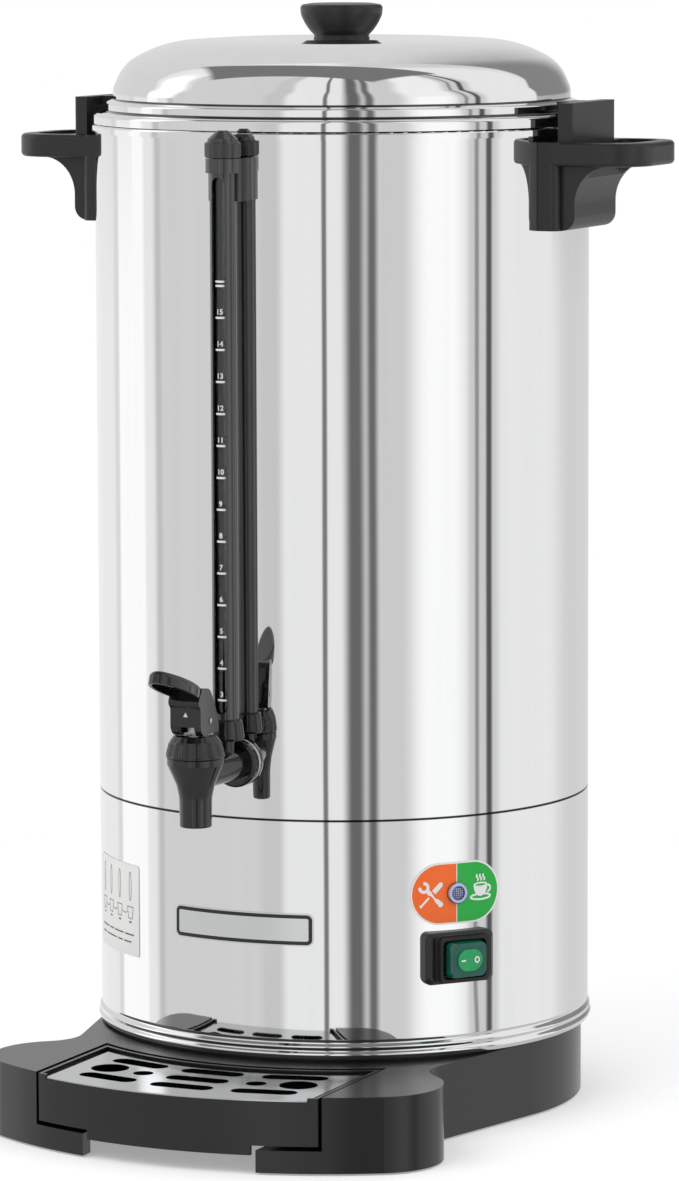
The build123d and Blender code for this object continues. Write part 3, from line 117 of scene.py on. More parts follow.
# painted shade: grey bands at the lowest and highest point of the seam, of the corner under the rolled rim
# and of the lid's two corners, where the steel would shade itself
painted_corner_shade = (
    (shell_low - 0.9, shell_low + 0.5), (shell_high - 0.9, shell_high),
    (flange_top - 0.05, flange_top + 0.9), (dome_z - 0.2, dome_z + 0.8),
)

panel_az, lamp_z = radians(50.9), 140.0
panel_core = 10.5                  # half the straight part of the panel's outline
panel_print_r = 17.0               # its colours end this far from that part
panel_seam = 0.5                   # white line between them
grid_pitch, grid_line = 1.3, 0.48  # diffuser grid of the lamp
switch_z = 103.0
axle_out = 4.0                     # rocker's axle in front of the wall
rocker_tilt = radians(6.0)
island_low, rocker_top = 14.2, 15.22           # foot and top of the rocker's island, in front of the wall
badge_low, badge_high = heights("badge_plate")
badge_z, badge_h, badge_w = (badge_low + badge_high) / 2, badge_high - badge_low, 88.0
badge_corner = 4.0
border_start, border_end = 1.1, 3.2            # the badge's dark line, from its corners' centres
side_az = radians(-43.0)


# ---------------------------------------- materials
def linear(hex_colour):
    """sRGB hex to a linear RGBA colour."""
    channels = [int(hex_colour[i:i + 2], 16) / 255 for i in (1, 3, 5)]
    return [c / 12.92 if c <= 0.04045 else ((c + 0.055) / 1.055) ** 2.4 for c in channels] + [1.0]


def per(size_mm):
    """Texture scale for a pattern that repeats about every size_mm."""
    return 1 / (size_mm * MM)


noise_span = {"From Min": 0.3, "From Max": 0.7}        # most of a noise's values lie in here


def add(tree, kind, inputs=None, **settings):
    """Add a node; inputs maps a socket to a value or to another node's output."""
    made = tree.nodes.new(kind)
    for key, value in settings.items():
        setattr(made, key, value)
    for socket, value in (inputs or {}).items():
        if isinstance(value, bpy.types.NodeSocket):
            tree.links.new(value, made.inputs[socket])
        else:
            made.inputs[socket].default_value = value
    return made


def finish(name):
    """New material with its tree, its Principled shader and the point in object space."""
    made = bpy.data.materials.new(name)
    made.use_nodes = True
    tree = made.node_tree
    shader = tree.nodes["Principled BSDF"]
    point = add(tree, "ShaderNodeTexCoord").outputs["Object"]
    return made, tree, shader, point


def set_shader(tree, shader, **values):
    """Set or link sockets of a Principled shader, named with underscores for spaces."""
    for key, value in values.items():
        socket = shader.inputs[key.replace("_", " ")]
        if isinstance(value, bpy.types.NodeSocket):
            tree.links.new(value, socket)
        else:
            socket.default_value = value


def mirror_polished_steel():
    """Stainless 18/10 sheet, buffed after rolling: a clear mirror with a faint upright haze.

    A painted shade, a flat grey band, darkens the seam and the pressed corners.
    """
    made, tree, shader, point = finish("stainless_sheet_mirror_polished")
    drawn = add(tree, "ShaderNodeMapping", {"Vector": point, "Scale": (1, 1, 0.02)}).outputs["Vector"]
    buff = add(tree, "ShaderNodeTexNoise", {"Vector": drawn, "Scale": per(9.0), "Detail": 2.0})
    rough = add(tree, "ShaderNodeMapRange", {
        "Value": buff.outputs["Fac"], **noise_span, "To Min": 0.02, "To Max": 0.045})
    tone = add(tree, "ShaderNodeMapRange", {"Value": buff.outputs["Fac"], **noise_span})
    colour = add(tree, "ShaderNodeMix", {
        "Factor": tone.outputs["Result"], "A": linear("#ebecec"), "B": linear("#efefef")}, data_type="RGBA")
    stretched = add(tree, "ShaderNodeMapping", {"Vector": point, "Scale": (1, 1, 0.25)}).outputs["Vector"]
    sheet_wave = add(tree, "ShaderNodeTexNoise", {
        "Vector": stretched, "Scale": per(60.0), "Detail": 1.0})
    wave = add(tree, "ShaderNodeBump", {
        "Height": sheet_wave.outputs["Fac"], "Strength": 0.25, "Distance": 0.4 * MM})
    height = add(tree, "ShaderNodeSeparateXYZ", {"Vector": point}).outputs["Z"]
    # painted shade: the seam and corner bands are mixed to a flat dark grey
    for low, high in painted_corner_shade:
        line = add(tree, "ShaderNodeMath", {
            0: height, 1: (low + high) / 2 * MM, 2: (high - low) / 2 * MM}, operation="COMPARE").outputs[0]
        colour = add(tree, "ShaderNodeMix", {
            "Factor": line, "A": colour.outputs["Result"], "B": linear("#58585a")}, data_type="RGBA")
    set_shader(tree, shader, Metallic=1.0, Base_Color=colour.outputs["Result"],
               Roughness=rough.outputs["Result"], Normal=wave.outputs["Normal"])
    return made


def satin_pressed_steel():
    """Pressed stainless left with its mill finish: bright, soft-edged reflections."""
    made, tree, shader, point = finish("stainless_sheet_pressed_satin")
    grain = add(tree, "ShaderNodeTexNoise", {"Vector": point, "Scale": per(1.2), "Detail": 5.0})
    rough = add(tree, "ShaderNodeMapRange", {
        "Value": grain.outputs["Fac"], **noise_span, "To Min": 0.3, "To Max": 0.44})
    bump = add(tree, "ShaderNodeBump", {
        "Height": grain.outputs["Fac"], "Strength": 0.15, "Distance": 0.02 * MM})
    set_shader(tree, shader, Metallic=0.75, Base_Color=linear("#c9cbcd"),
               Roughness=rough.outputs["Result"], Normal=bump.outputs["Normal"])
    return made


def tank_steel():
    """Deep-drawn stainless tank: dulled by use inside, its rolled rim as bright as the shell."""
    made, tree, shader, point = finish("stainless_sheet_deep_drawn_tank")
    level = add(tree, "ShaderNodeVectorMath", {
        0: point, 1: (1, 1, 0)}, operation="MULTIPLY").outputs["Vector"]
    radius = add(tree, "ShaderNodeVectorMath", {0: level}, operation="LENGTH").outputs["Value"]
    rim = add(tree, "ShaderNodeMapRange", {
        "Value": radius, "From Min": rim_in * MM, "From Max": rim_out * MM}).outputs["Result"]
    grain = add(tree, "ShaderNodeTexNoise", {"Vector": point, "Scale": per(1.5), "Detail": 4.0})
    dull = add(tree, "ShaderNodeMapRange", {
        "Value": grain.outputs["Fac"], **noise_span, "To Min": 0.3, "To Max": 0.44})
    rough = add(tree, "ShaderNodeMix", {
        "Factor": rim, "A": dull.outputs["Result"], "B": 0.03}, data_type="FLOAT")
    metal = add(tree, "ShaderNodeMapRange", {"Value": rim, "To Min": 0.75, "To Max": 1.0})
    colour = add(tree, "ShaderNodeMix", {
        "Factor": rim, "A": linear("#c9cbcd"), "B": linear("#eeeeee")}, data_type="RGBA")
    set_shader(tree, shader, Metallic=metal.outputs["Result"], Base_Color=colour.outputs["Result"],
               Roughness=rough.outputs["Result"])
    return made


def turned_metal(name, colour, roughness, line_mm):
    """Metal cut on a lathe, drawn or rolled: fine lines across the piece catch the light."""
    made, tree, shader, point = finish(name)
    rings = add(tree, "ShaderNodeTexWave", {
        "Vector": point, "Scale": per(line_mm) / 20, "Distortion": 0.6, "Detail": 2.0},
        wave_type="BANDS", bands_direction="Z")
    rough = add(tree, "ShaderNodeMapRange", {
        "Value": rings.outputs["Fac"], "To Min": roughness * 0.8, "To Max": roughness * 1.25})
    bump = add(tree, "ShaderNodeBump", {
        "Height": rings.outputs["Fac"], "Strength": 0.1, "Distance": 0.03 * MM})
    set_shader(tree, shader, Metallic=1.0, Base_Color=linear(colour),
               Roughness=rough.outputs["Result"], Normal=bump.outputs["Normal"])
    return made


def cast_aluminium():
    """Die-cast aluminium, bare: pale, slightly pitted and dull."""
    made, tree, shader, point = finish("aluminium_die_cast")
    pits = add(tree, "ShaderNodeTexNoise", {"Vector": point, "Scale": per(0.9), "Detail": 6.0})
    bump = add(tree, "ShaderNodeBump", {
        "Height": pits.outputs["Fac"], "Strength": 0.3, "Distance": 0.05 * MM})
    rough = add(tree, "ShaderNodeMapRange", {"Value": pits.outputs["Fac"], "To Min": 0.35, "To Max": 0.55})
    set_shader(tree, shader, Metallic=1.0, Base_Color=linear("#c3c5c7"),
               Roughness=rough.outputs["Result"], Normal=bump.outputs["Normal"])
    return made


def moulded_plastic(name, dark, light, roughness, grain_mm, grain_depth, ior=1.5):
    """Injection-moulded plastic: its tool's grain breaks up the gloss and the colour a little."""
    made, tree, shader, point = finish(name)
    grain = add(tree, "ShaderNodeTexNoise", {"Vector": point, "Scale": per(grain_mm), "Detail": 3.0})
    flow = add(tree, "ShaderNodeTexNoise", {"Vector": point, "Scale": per(45.0), "Detail": 2.0})
    colour = add(tree, "ShaderNodeMix", {
        "Factor": flow.outputs["Fac"], "A": linear(dark), "B": linear(light)}, data_type="RGBA")
    rough = add(tree, "ShaderNodeMapRange", {
        "Value": grain.outputs["Fac"], **noise_span,
        "To Min": roughness * 0.88, "To Max": roughness * 1.12})
    bump = add(tree, "ShaderNodeBump", {
        "Height": grain.outputs["Fac"], "Strength": 0.35, "Distance": grain_depth * MM})
    set_shader(tree, shader, Base_Color=colour.outputs["Result"], IOR=ior,
               Roughness=rough.outputs["Result"], Normal=bump.outputs["Normal"])
    return made


def drawn_glass():
    """Drawn borosilicate tube: clear, with faint lengthwise draw lines."""
    made, tree, shader, point = finish("borosilicate_glass_drawn")
    along = add(tree, "ShaderNodeMapping", {"Vector": point, "Scale": (1, 1, 0.01)}).outputs["Vector"]
    lines = add(tree, "ShaderNodeTexNoise", {"Vector": along, "Scale": per(1.5), "Detail": 2.0})
    bump = add(tree, "ShaderNodeBump", {
        "Height": lines.outputs["Fac"], "Strength": 0.1, "Distance": 0.02 * MM})
    rough = add(tree, "ShaderNodeMapRange", {"Value": lines.outputs["Fac"], "To Min": 0.01, "To Max": 0.04})
    set_shader(tree, shader, Base_Color=linear("#f4faf8"), Transmission_Weight=1.0, IOR=1.47,
               Roughness=rough.outputs["Result"], Normal=bump.outputs["Normal"])
    return made


def pressed_silicone():
    """Compression-moulded silicone: milky, soft and slightly dusty."""
    made, tree, shader, point = finish("silicone_compression_moulded")
    dust = add(tree, "ShaderNodeTexNoise", {"Vector": point, "Scale": per(2.0), "Detail": 4.0})
    colour = add(tree, "ShaderNodeMix", {
        "Factor": dust.outputs["Fac"], "A": linear("#cfc9bb"), "B": linear("#dedacf")}, data_type="RGBA")
    set_shader(tree, shader, Base_Color=colour.outputs["Result"], Roughness=0.5, IOR=1.41,
               Subsurface_Weight=0.4, Subsurface_Scale=2 * MM)
    return made


def speckled(name, ground, speck, size_mm, roughness):
    """Filled moulding or fired ceramic: small specks of the filler show in the ground colour."""
    made, tree, shader, point = finish(name)
    cells = add(tree, "ShaderNodeTexVoronoi", {"Vector": point, "Scale": per(size_mm)})
    share = add(tree, "ShaderNodeMapRange", {
        "Value": cells.outputs["Distance"], "From Min": 0.15, "From Max": 0.4,
        "To Min": 1.0, "To Max": 0.0})
    colour = add(tree, "ShaderNodeMix", {
        "Factor": share.outputs["Result"], "A": linear(ground), "B": linear(speck)}, data_type="RGBA")
    bump = add(tree, "ShaderNodeBump", {
        "Height": cells.outputs["Distance"], "Strength": 0.1, "Distance": 0.03 * MM})
    set_shader(tree, shader, Base_Color=colour.outputs["Result"], Roughness=roughness,
               Normal=bump.outputs["Normal"])
    return made


def wall_direction(azimuth):
    """Unit vectors out of the round wall, and along it to the right as seen from outside."""
    return Vector((sin(azimuth), -cos(azimuth), 0)), Vector((cos(azimuth), sin(azimuth), 0))


def wall_coordinates(tree, point, azimuth, height_mm):
    """Millimetres to the right of and above a place on the body wall."""
    outward, across = wall_direction(azimuth)
    centre = outward * body_r * MM + Vector((0, 0, height_mm * MM))
    offset = add(tree, "ShaderNodeVectorMath", {
        0: point, 1: centre}, operation="SUBTRACT").outputs["Vector"]
    sockets = []
    for direction in (across, Vector((0, 0, 1))):
        dot = add(tree, "ShaderNodeVectorMath", {0: offset, 1: direction / MM}, operation="DOT_PRODUCT")
        sockets.append(dot.outputs["Value"])
    return sockets


def rounded_distance(tree, across, up, straight_x, straight_z):
    """Distance in millimetres from a rounded rectangle's straight core."""
    parts = []
    for value, core in ((across, straight_x), (up, straight_z)):
        size = add(tree, "ShaderNodeMath", {0: value}, operation="ABSOLUTE").outputs[0]
        over = add(tree, "ShaderNodeMath", {0: size, 1: core}, operation="SUBTRACT").outputs[0]
        parts.append(add(tree, "ShaderNodeMath", {0: over, 1: 0.0}, operation="MAXIMUM").outputs[0])
    pair = add(tree, "ShaderNodeCombineXYZ", {"X": parts[0], "Y": parts[1]}).outputs["Vector"]
    return add(tree, "ShaderNodeVectorMath", {0: pair}, operation="LENGTH").outputs["Value"]


def printed_panel_film():
    """Polycarbonate film printed on its back: orange and green halves inside a white edge."""
    made, tree, shader, point = finish("polycarbonate_film_printed_panel")
    across, up = wall_coordinates(tree, point, panel_az, lamp_z)
    from_core = rounded_distance(tree, across, up, panel_core, 0.0)
    edge = add(tree, "ShaderNodeMath", {
        0: from_core, 1: panel_print_r}, operation="GREATER_THAN").outputs[0]
    right = add(tree, "ShaderNodeMath", {0: across, 1: 0.0}, operation="GREATER_THAN").outputs[0]
    halves = add(tree, "ShaderNodeMix", {
        "Factor": right, "A": linear("#ff6a00"), "B": linear("#00b23c")}, data_type="RGBA").outputs["Result"]
    seam = add(tree, "ShaderNodeMath", {
        0: across, 1: 0.0, 2: panel_seam / 2}, operation="COMPARE").outputs[0]
    white = add(tree, "ShaderNodeMath", {0: edge, 1: seam}, operation="MAXIMUM").outputs[0]
    colour = add(tree, "ShaderNodeMix", {
        "Factor": white, "A": halves, "B": linear("#f3f3f1")}, data_type="RGBA").outputs["Result"]
    texture = add(tree, "ShaderNodeTexNoise", {"Vector": point, "Scale": per(0.6), "Detail": 2.0})
    bump = add(tree, "ShaderNodeBump", {
        "Height": texture.outputs["Fac"], "Strength": 0.15, "Distance": 0.01 * MM})
    set_shader(tree, shader, Base_Color=colour, Roughness=0.32, IOR=1.58, Normal=bump.outputs["Normal"])
    return made


def anodised_badge():
    """Blank anodised aluminium badge: brushed lengthwise, with a thin dark border."""
    made, tree, shader, point = finish("aluminium_badge_brushed_anodised")
    across, up = wall_coordinates(tree, point, 0.0, badge_z)
    from_core = rounded_distance(tree, across, up, badge_w / 2 - badge_corner, badge_h / 2 - badge_corner)
    begun = add(tree, "ShaderNodeMath", {
        0: from_core, 1: border_start}, operation="GREATER_THAN").outputs[0]
    unended = add(tree, "ShaderNodeMath", {
        0: from_core, 1: border_end}, operation="LESS_THAN").outputs[0]
    line = add(tree, "ShaderNodeMath", {0: begun, 1: unended}, operation="MULTIPLY").outputs[0]
    drawn = add(tree, "ShaderNodeMapping", {"Vector": point, "Scale": (0.03, 0.03, 1)}).outputs["Vector"]
    brush = add(tree, "ShaderNodeTexNoise", {"Vector": drawn, "Scale": per(0.35), "Detail": 3.0})
    ground = add(tree, "ShaderNodeMix", {
        "Factor": brush.outputs["Fac"], "A": linear("#dadbdc"), "B": linear("#e8e9ea")}, data_type="RGBA")
    colour = add(tree, "ShaderNodeMix", {
        "Factor": line, "A": ground.outputs["Result"], "B": linear("#222223")}, data_type="RGBA")
    bare = add(tree, "ShaderNodeMath", {0: 1.0, 1: line}, operation="SUBTRACT").outputs[0]
    bump = add(tree, "ShaderNodeBump", {
        "Height": brush.outputs["Fac"], "Strength": 0.15, "Distance": 0.02 * MM})
    set_shader(tree, shader, Base_Color=colour.outputs["Result"], Metallic=bare, Roughness=0.3,
               Normal=bump.outputs["Normal"])
    return made


def moulded_rocker():
    """Tinted polycarbonate rocker: deep green all through, with a brighter green island."""
    made, tree, shader, point = finish("polycarbonate_tinted_rocker")
    outward, _ = wall_direction(panel_az)
    axle = outward * (body_r + axle_out) * MM
    tilted = Matrix.Rotation(rocker_tilt, 3, "Z") @ outward
    offset = add(tree, "ShaderNodeVectorMath", {0: point, 1: axle}, operation="SUBTRACT").outputs["Vector"]
    height = add(tree, "ShaderNodeVectorMath", {0: offset, 1: tilted / MM}, operation="DOT_PRODUCT")
    island = add(tree, "ShaderNodeMath", {
        0: height.outputs["Value"], 1: island_low - axle_out + 0.12}, operation="GREATER_THAN").outputs[0]
    cloud = add(tree, "ShaderNodeTexNoise", {"Vector": point, "Scale": per(9.0), "Detail": 2.0})
    deep = add(tree, "ShaderNodeMix", {
        "Factor": cloud.outputs["Fac"], "A": linear("#0a4a3c"), "B": linear("#14695a")}, data_type="RGBA")
    bright = add(tree, "ShaderNodeMix", {
        "Factor": cloud.outputs["Fac"], "A": linear("#0a9a55"), "B": linear("#1cb268")}, data_type="RGBA")
    colour = add(tree, "ShaderNodeMix", {
        "Factor": island, "A": deep.outputs["Result"], "B": bright.outputs["Result"]}, data_type="RGBA")
    set_shader(tree, shader, Base_Color=colour.outputs["Result"], Roughness=0.12, IOR=1.58,
               Coat_Weight=0.4)
    return made


def milky_lamp_lens():
    """Moulded lamp lens: milky, blue-grey, with the fine grid of its diffuser."""
    made, tree, shader, point = finish("polycarbonate_diffuser_lens")
    across, up = wall_coordinates(tree, point, panel_az, lamp_z)
    grid = []
    for value in (across, up):
        place = add(tree, "ShaderNodeMath", {0: value, 1: grid_pitch, 2: 0.0}, operation="WRAP").outputs[0]
        grid.append(add(tree, "ShaderNodeMath", {
            0: place, 1: grid_pitch / 2, 2: grid_line / 2}, operation="COMPARE").outputs[0])
    line = add(tree, "ShaderNodeMath", {0: grid[0], 1: grid[1]}, operation="MAXIMUM").outputs[0]
    colour = add(tree, "ShaderNodeMix", {
        "Factor": line, "A": linear("#aab0d0"), "B": linear("#3d4060")}, data_type="RGBA").outputs["Result"]
    set_shader(tree, shader, Base_Color=colour, Roughness=0.15, IOR=1.58)
    return made


def plain_print(name, colour):
    """Screen-printing ink or coated label film: an even, slightly matt layer."""
    made, tree, shader, point = finish(name)
    ink = add(tree, "ShaderNodeTexNoise", {"Vector": point, "Scale": per(0.8), "Detail": 2.0})
    rough = add(tree, "ShaderNodeMapRange", {"Value": ink.outputs["Fac"], "To Min": 0.45, "To Max": 0.6})
    set_shader(tree, shader, Base_Color=linear(colour), Roughness=rough.outputs["Result"])
    return made


finishes = {
    "polished_steel": mirror_polished_steel(),
    "satin_steel": satin_pressed_steel(),
    "fastener_steel": turned_metal("stainless_wire_and_bar_turned", "#b9bbbd", 0.22, 0.6),
    "brass": turned_metal("brass_bar_turned", "#c8a75f", 0.25, 0.8),
    "lamp_bezel": turned_metal("brass_bezel_chrome_plated", "#aab2d2", 0.1, 0.5),
    "aluminium": cast_aluminium(),
    "black_plastic": moulded_plastic(
        "polyamide_moulded_spark_grain", "#1b1b1c", "#222223", 0.36, 0.7, 0.05),
    "gloss_black": moulded_plastic(
        "polycarbonate_moulded_gloss", "#121213", "#181819", 0.1, 2.5, 0.01, ior=1.58),
    "black_rubber": moulded_plastic("rubber_moulded_black", "#141414", "#1d1d1d", 0.55, 0.5, 0.03),
    "clear_glass": drawn_glass(),
    "silicone": pressed_silicone(),
    "phenolic": speckled("phenolic_moulding_filled", "#1d1715", "#3a2c26", 0.7, 0.4),
    "cream_ceramic": speckled("steatite_ceramic_fired", "#e0d8c4", "#c9bfa6", 0.9, 0.6),
    "switch_green": moulded_rocker(),
    "lamp_white": milky_lamp_lens(),
    "panel_print": printed_panel_film(),
    "badge": anodised_badge(),
    "side_print": plain_print("polyester_film_white_label", "#fafaf8"),
}
white_ink = plain_print("screen_ink_white", "#f4f4f2")
dark_ink = plain_print("screen_ink_grey", "#3c3d3f")

base_moulding = moulded_plastic("polypropylene_moulded_semi_gloss", "#151516", "#1b1b1c", 0.24, 1.2, 0.02)
gauge_moulding = moulded_plastic(
    "polycarbonate_moulded_high_gloss", "#2c2c2e", "#353537", 0.08, 3.0, 0.01, ior=1.7)
own_finish = {                     # nodes whose surface differs from the rest of their slot
    "gauge_guard": gauge_moulding,
    "gauge_bracket": gauge_moulding,
    "gauge_cap": gauge_moulding,
    "inner_tank": tank_steel(),
    "base_ring": base_moulding,
    "drip_tray": base_moulding,
    "drip_grille": turned_metal("stainless_sheet_punched", "#c2c4c6", 0.13, 3.0),
}
for name, piece in nodes.items():
    for slot in piece.material_slots:
        slot.material = own_finish.get(name, finishes[slot_of[name]])


# ---------------------------------------- helpers for new pieces
def keep(name, mesh, body, material, slot, smooth_deg=30):
    """Link a mesh as a piece that rides on a body."""
    mesh.materials.append(material)
    mesh.shade_smooth()
    mesh.set_sharp_from_angle(angle=radians(smooth_deg))
    piece = bpy.data.objects.new(name, mesh)
    bpy.context.scene.collection.objects.link(piece)
    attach(piece, body)
    return piece


def drawing(name, polygons, place, body, material, slot, thick):
    """Printed flat shapes: (across, up) polygons laid on a surface as a thin closed layer."""
    shape = bmesh.new()
    for polygon in polygons:
        shape.faces.new([shape.verts.new((u, v, thick)) for u, v in polygon])
    bmesh.ops.remove_doubles(shape, verts=shape.verts, dist=0.001)
    sunk = bmesh.ops.extrude_face_region(shape, geom=shape.faces[:])
    for vert in sunk["geom"]:
        if isinstance(vert, bmesh.types.BMVert):
            vert.co.z = 0.0
    bmesh.ops.recalc_face_normals(shape, faces=shape.faces)
    for vert in shape.verts:
        vert.co = place(*vert.co)
    mesh = bpy.data.meshes.new(name)
    shape.to_mesh(mesh)
    shape.free()
    return keep(name, mesh, body, material, slot)


def wrapped(azimuth, height, radius, axis_y=0.0):
    """Placement on an upright round wall, for drawing()."""
    def place(u, v, w):
        angle = azimuth + u / radius
        r = radius + w
        return Vector((r * sin(angle), axis_y - r * cos(angle), height + v)) * MM
    return place


def outermost(name):
    """Radius of a node's surface furthest from the urn's axis, with a hair of clearance."""
    return max(Vector(v.co).xy.length for v in nodes[name].data.vertices) / MM + 0.01


def stroke(points, width, closed=False):
    """Line of even width through points, as quads with mitred corners."""
    count = len(points)
    sides = []
    for i, (x, y) in enumerate(points):
        before = points[i - 1] if i > 0 or closed else None
        after = points[(i + 1) % count] if i < count - 1 or closed else None
        normals = []
        for a, b in ((before, (x, y)), ((x, y), after)):
            if a is not None and b is not None:
                length = hypot(b[0] - a[0], b[1] - a[1])
                normals.append(Vector((a[1] - b[1], b[0] - a[0])) / length)
        normal = sum(normals, Vector((0, 0))).normalized()
        reach = width / 2 / max(0.4, normal.dot(normals[0]))
        sides.append(((x + normal.x * reach, y + normal.y * reach),
                      (x - normal.x * reach, y - normal.y * reach)))
    onward = sides[1:] + sides[:1] if closed else sides[1:]
    return [[start[0], end[0], end[1], start[1]] for start, end in zip(sides, onward)]


def arc(cx, cy, r, start_deg, end_deg, steps=16, squeeze=1.0):
    """Points along an arc; squeeze flattens it upwards."""
    angles = [radians(start_deg + (end_deg - start_deg) * i / steps) for i in range(steps + 1)]
    return [(cx + r * cos(a), cy + squeeze * r * sin(a)) for a in angles]


def moved(polygons, du, dv, turn_deg=0.0):
    """Polygons turned about their origin, then moved."""
    c, s = cos(radians(turn_deg)), sin(radians(turn_deg))
    return [[(u * c - v * s + du, u * s + v * c + dv) for u, v in polygon] for polygon in polygons]


def lettering(text, height):
    """Polygons of a short number or mark, centred on its origin."""
    curve = bpy.data.curves.new("mark", "FONT")
    curve.body = text
    curve.size = height / 0.73          # capitals are 0.73 of the font size
    curve.resolution_u = 3
    curve.align_x = "CENTER"
    curve.offset = 0.03 * height        # bolder, as cut for a screen
    holder = bpy.data.objects.new("mark", curve)
    mesh = bpy.data.meshes.new_from_object(holder)
    polygons = [[(mesh.vertices[i].co.x, mesh.vertices[i].co.y - height / 2) for i in face.vertices]
                for face in mesh.polygons]
    bpy.data.objects.remove(holder)
    bpy.data.curves.remove(curve)
    bpy.data.meshes.remove(mesh)
    return polygons


# ---------------------------------------- gauge scale
litre_rise = 18.12                 # height of one litre in the tank
litre_zero = 200.5                 # tank floor
first_litre, last_litre = 3, 15
max_mark_z = 490.3
mark_w = 5.8
mark_t = 1.2
number_h = 3.1
number_rise = 3.5                  # middle of a number above its mark


def mark(z):
    """One bar of the scale, in short runs that follow the round glass."""
    return moved(stroke([(-mark_w / 2 + mark_w * i / 6, 0) for i in range(7)], mark_t), 0, z)


scale = mark(max_mark_z) + mark(max_mark_z + 2 * mark_t)          # a double bar tops the scale
for litre in range(first_litre, last_litre + 1):
    z = litre_zero + litre_rise * litre
    scale += mark(z) + moved(lettering(str(litre), number_h), 0, z + number_rise)
drawing("gauge_scale", scale, wrapped(0.0, 0.0, glass_r + 0.01, gauge_y), "urn", white_ink,
        "clear_glass", 0.05)


# ---------------------------------------- lid and knob
arc_step = 0.045                   # radians between the points of a rounded corner


def softened(points):
    """Path through (radius, height, rounding) points, with each corner rounded as it says."""
    path = []
    for i, (x, y, rounding) in enumerate(points):
        corner = Vector((x, y))
        if not rounding:
            path.append(corner)
            continue
        back = (Vector(points[i - 1][:2]) - corner).normalized()
        onward = (Vector(points[i + 1][:2]) - corner).normalized()
        half = back.angle(onward) / 2
        centre = corner + (back + onward).normalized() * rounding / sin(half)
        first, last = (corner + side * rounding / tan(half) - centre for side in (back, onward))
        start = atan2(first.y, first.x)
        swing = (atan2(last.y, last.x) - start + pi) % (2 * pi) - pi
        steps = max(3, int(abs(swing) / arc_step))
        for k in range(steps + 1):
            a = start + swing * k / steps
            path.append(centre + Vector((cos(a), sin(a))) * rounding)
    return path


def inside(path, thickness):
    """The path moved by a sheet's thickness to its left."""
    moved_in = []
    for i, here in enumerate(path):
        along = (path[min(i + 1, len(path) - 1)] - path[max(i - 1, 0)]).normalized()
        moved_in.append(here + Vector((-along.y, along.x)) * thickness)
    return moved_in


def turned_about_axis(name, path, closed, body, material, slot, steps=256):
    """A path of (radius, height) points turned about the urn's axis into a closed skin."""
    skin = bmesh.new()
    rings = []
    for r, z in path:
        turns = [2 * pi * i / steps for i in range(steps if r > 0.01 else 1)]
        rings.append([skin.verts.new(Vector((r * cos(turn), r * sin(turn), z)) * MM) for turn in turns])
    if closed:
        rings.append(rings[0])
    for ring, above in zip(rings, rings[1:]):
        for i in range(steps):
            k = (i + 1) % steps
            corners = (ring[i % len(ring)], ring[k % len(ring)],
                       above[k % len(above)], above[i % len(above)])
            skin.faces.new(list(dict.fromkeys(corners)))
    bmesh.ops.recalc_face_normals(skin, faces=skin.faces)
    mesh = bpy.data.meshes.new(name)
    skin.to_mesh(mesh)
    skin.free()
    return keep(name, mesh, body, material, slot)


def cut_away(piece, low, high):
    """Cut a box, given by its corners in millimetres, out of a piece."""
    block = bmesh.new()
    size = Vector(high) - Vector(low)
    middle = (Vector(high) + Vector(low)) / 2
    bmesh.ops.create_cube(
        block, matrix=Matrix.Translation(middle * MM) @ Matrix.Diagonal((*(size * MM), 1)))
    mesh = bpy.data.meshes.new("cutter")
    block.to_mesh(mesh)
    block.free()
    cutter = bpy.data.objects.new("cutter", mesh)
    bpy.context.scene.collection.objects.link(cutter)
    modifier = piece.modifiers.new("cut", "BOOLEAN")
    modifier.operation = "DIFFERENCE"
    modifier.object = cutter
    bpy.context.view_layer.update()
    whole = piece.data
    cut = piece.evaluated_get(bpy.context.evaluated_depsgraph_get())
    piece.data = bpy.data.meshes.new_from_object(cut)
    piece.modifiers.remove(modifier)
    bpy.data.objects.remove(cutter)
    bpy.data.meshes.remove(mesh)
    bpy.data.meshes.remove(whole)


step_r, dome_r = 138.3, 134.3
sheet_t = 0.8
knob_seat_r, screw_hole_r, dish = 24.3, 2.6, 2.4
dome_line = [                      # radius, height and rounding of each corner, from the edge to the middle
    (lid_r, lid_low, 0),
    (lid_r, lid_low + flange_h, 2.2),
    (step_r, flange_top, 0.9),
    (step_r, dome_z - step_fillet, 1.4),
    (dome_r, dome_z, 0.9),
    (dome_r, lid_high - 29.65, 13.5),
    (128.0, lid_high - 15.4, 25.5),
    (105.4, lid_high - 2.1, 73.5),
    (66.0, lid_high, 30.0),
    (knob_seat_r, lid_high - dish + 0.04, 10.0),
    (screw_hole_r, lid_high - dish, 0),
]
outer_skin = softened(dome_line)
lid_pressing = turned_about_axis(
    "lid_pressing", outer_skin + inside(outer_skin, sheet_t)[::-1], True, "lid",
    finishes[slot_of["lid_shell"]], slot_of["lid_shell"])
notch_in, notch_half = 6.6, 17.0   # the lock hooks pass through two notches in the flange
past = 5.0                         # how far the cuts reach past the flange
for low_x, high_x in ((lid_r - notch_in, lid_r + past), (-lid_r - past, -lid_r + notch_in)):
    cut_away(lid_pressing, (low_x, -notch_half, lid_low - past), (high_x, notch_half, flange_top + 0.05))
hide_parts("lid_shell")

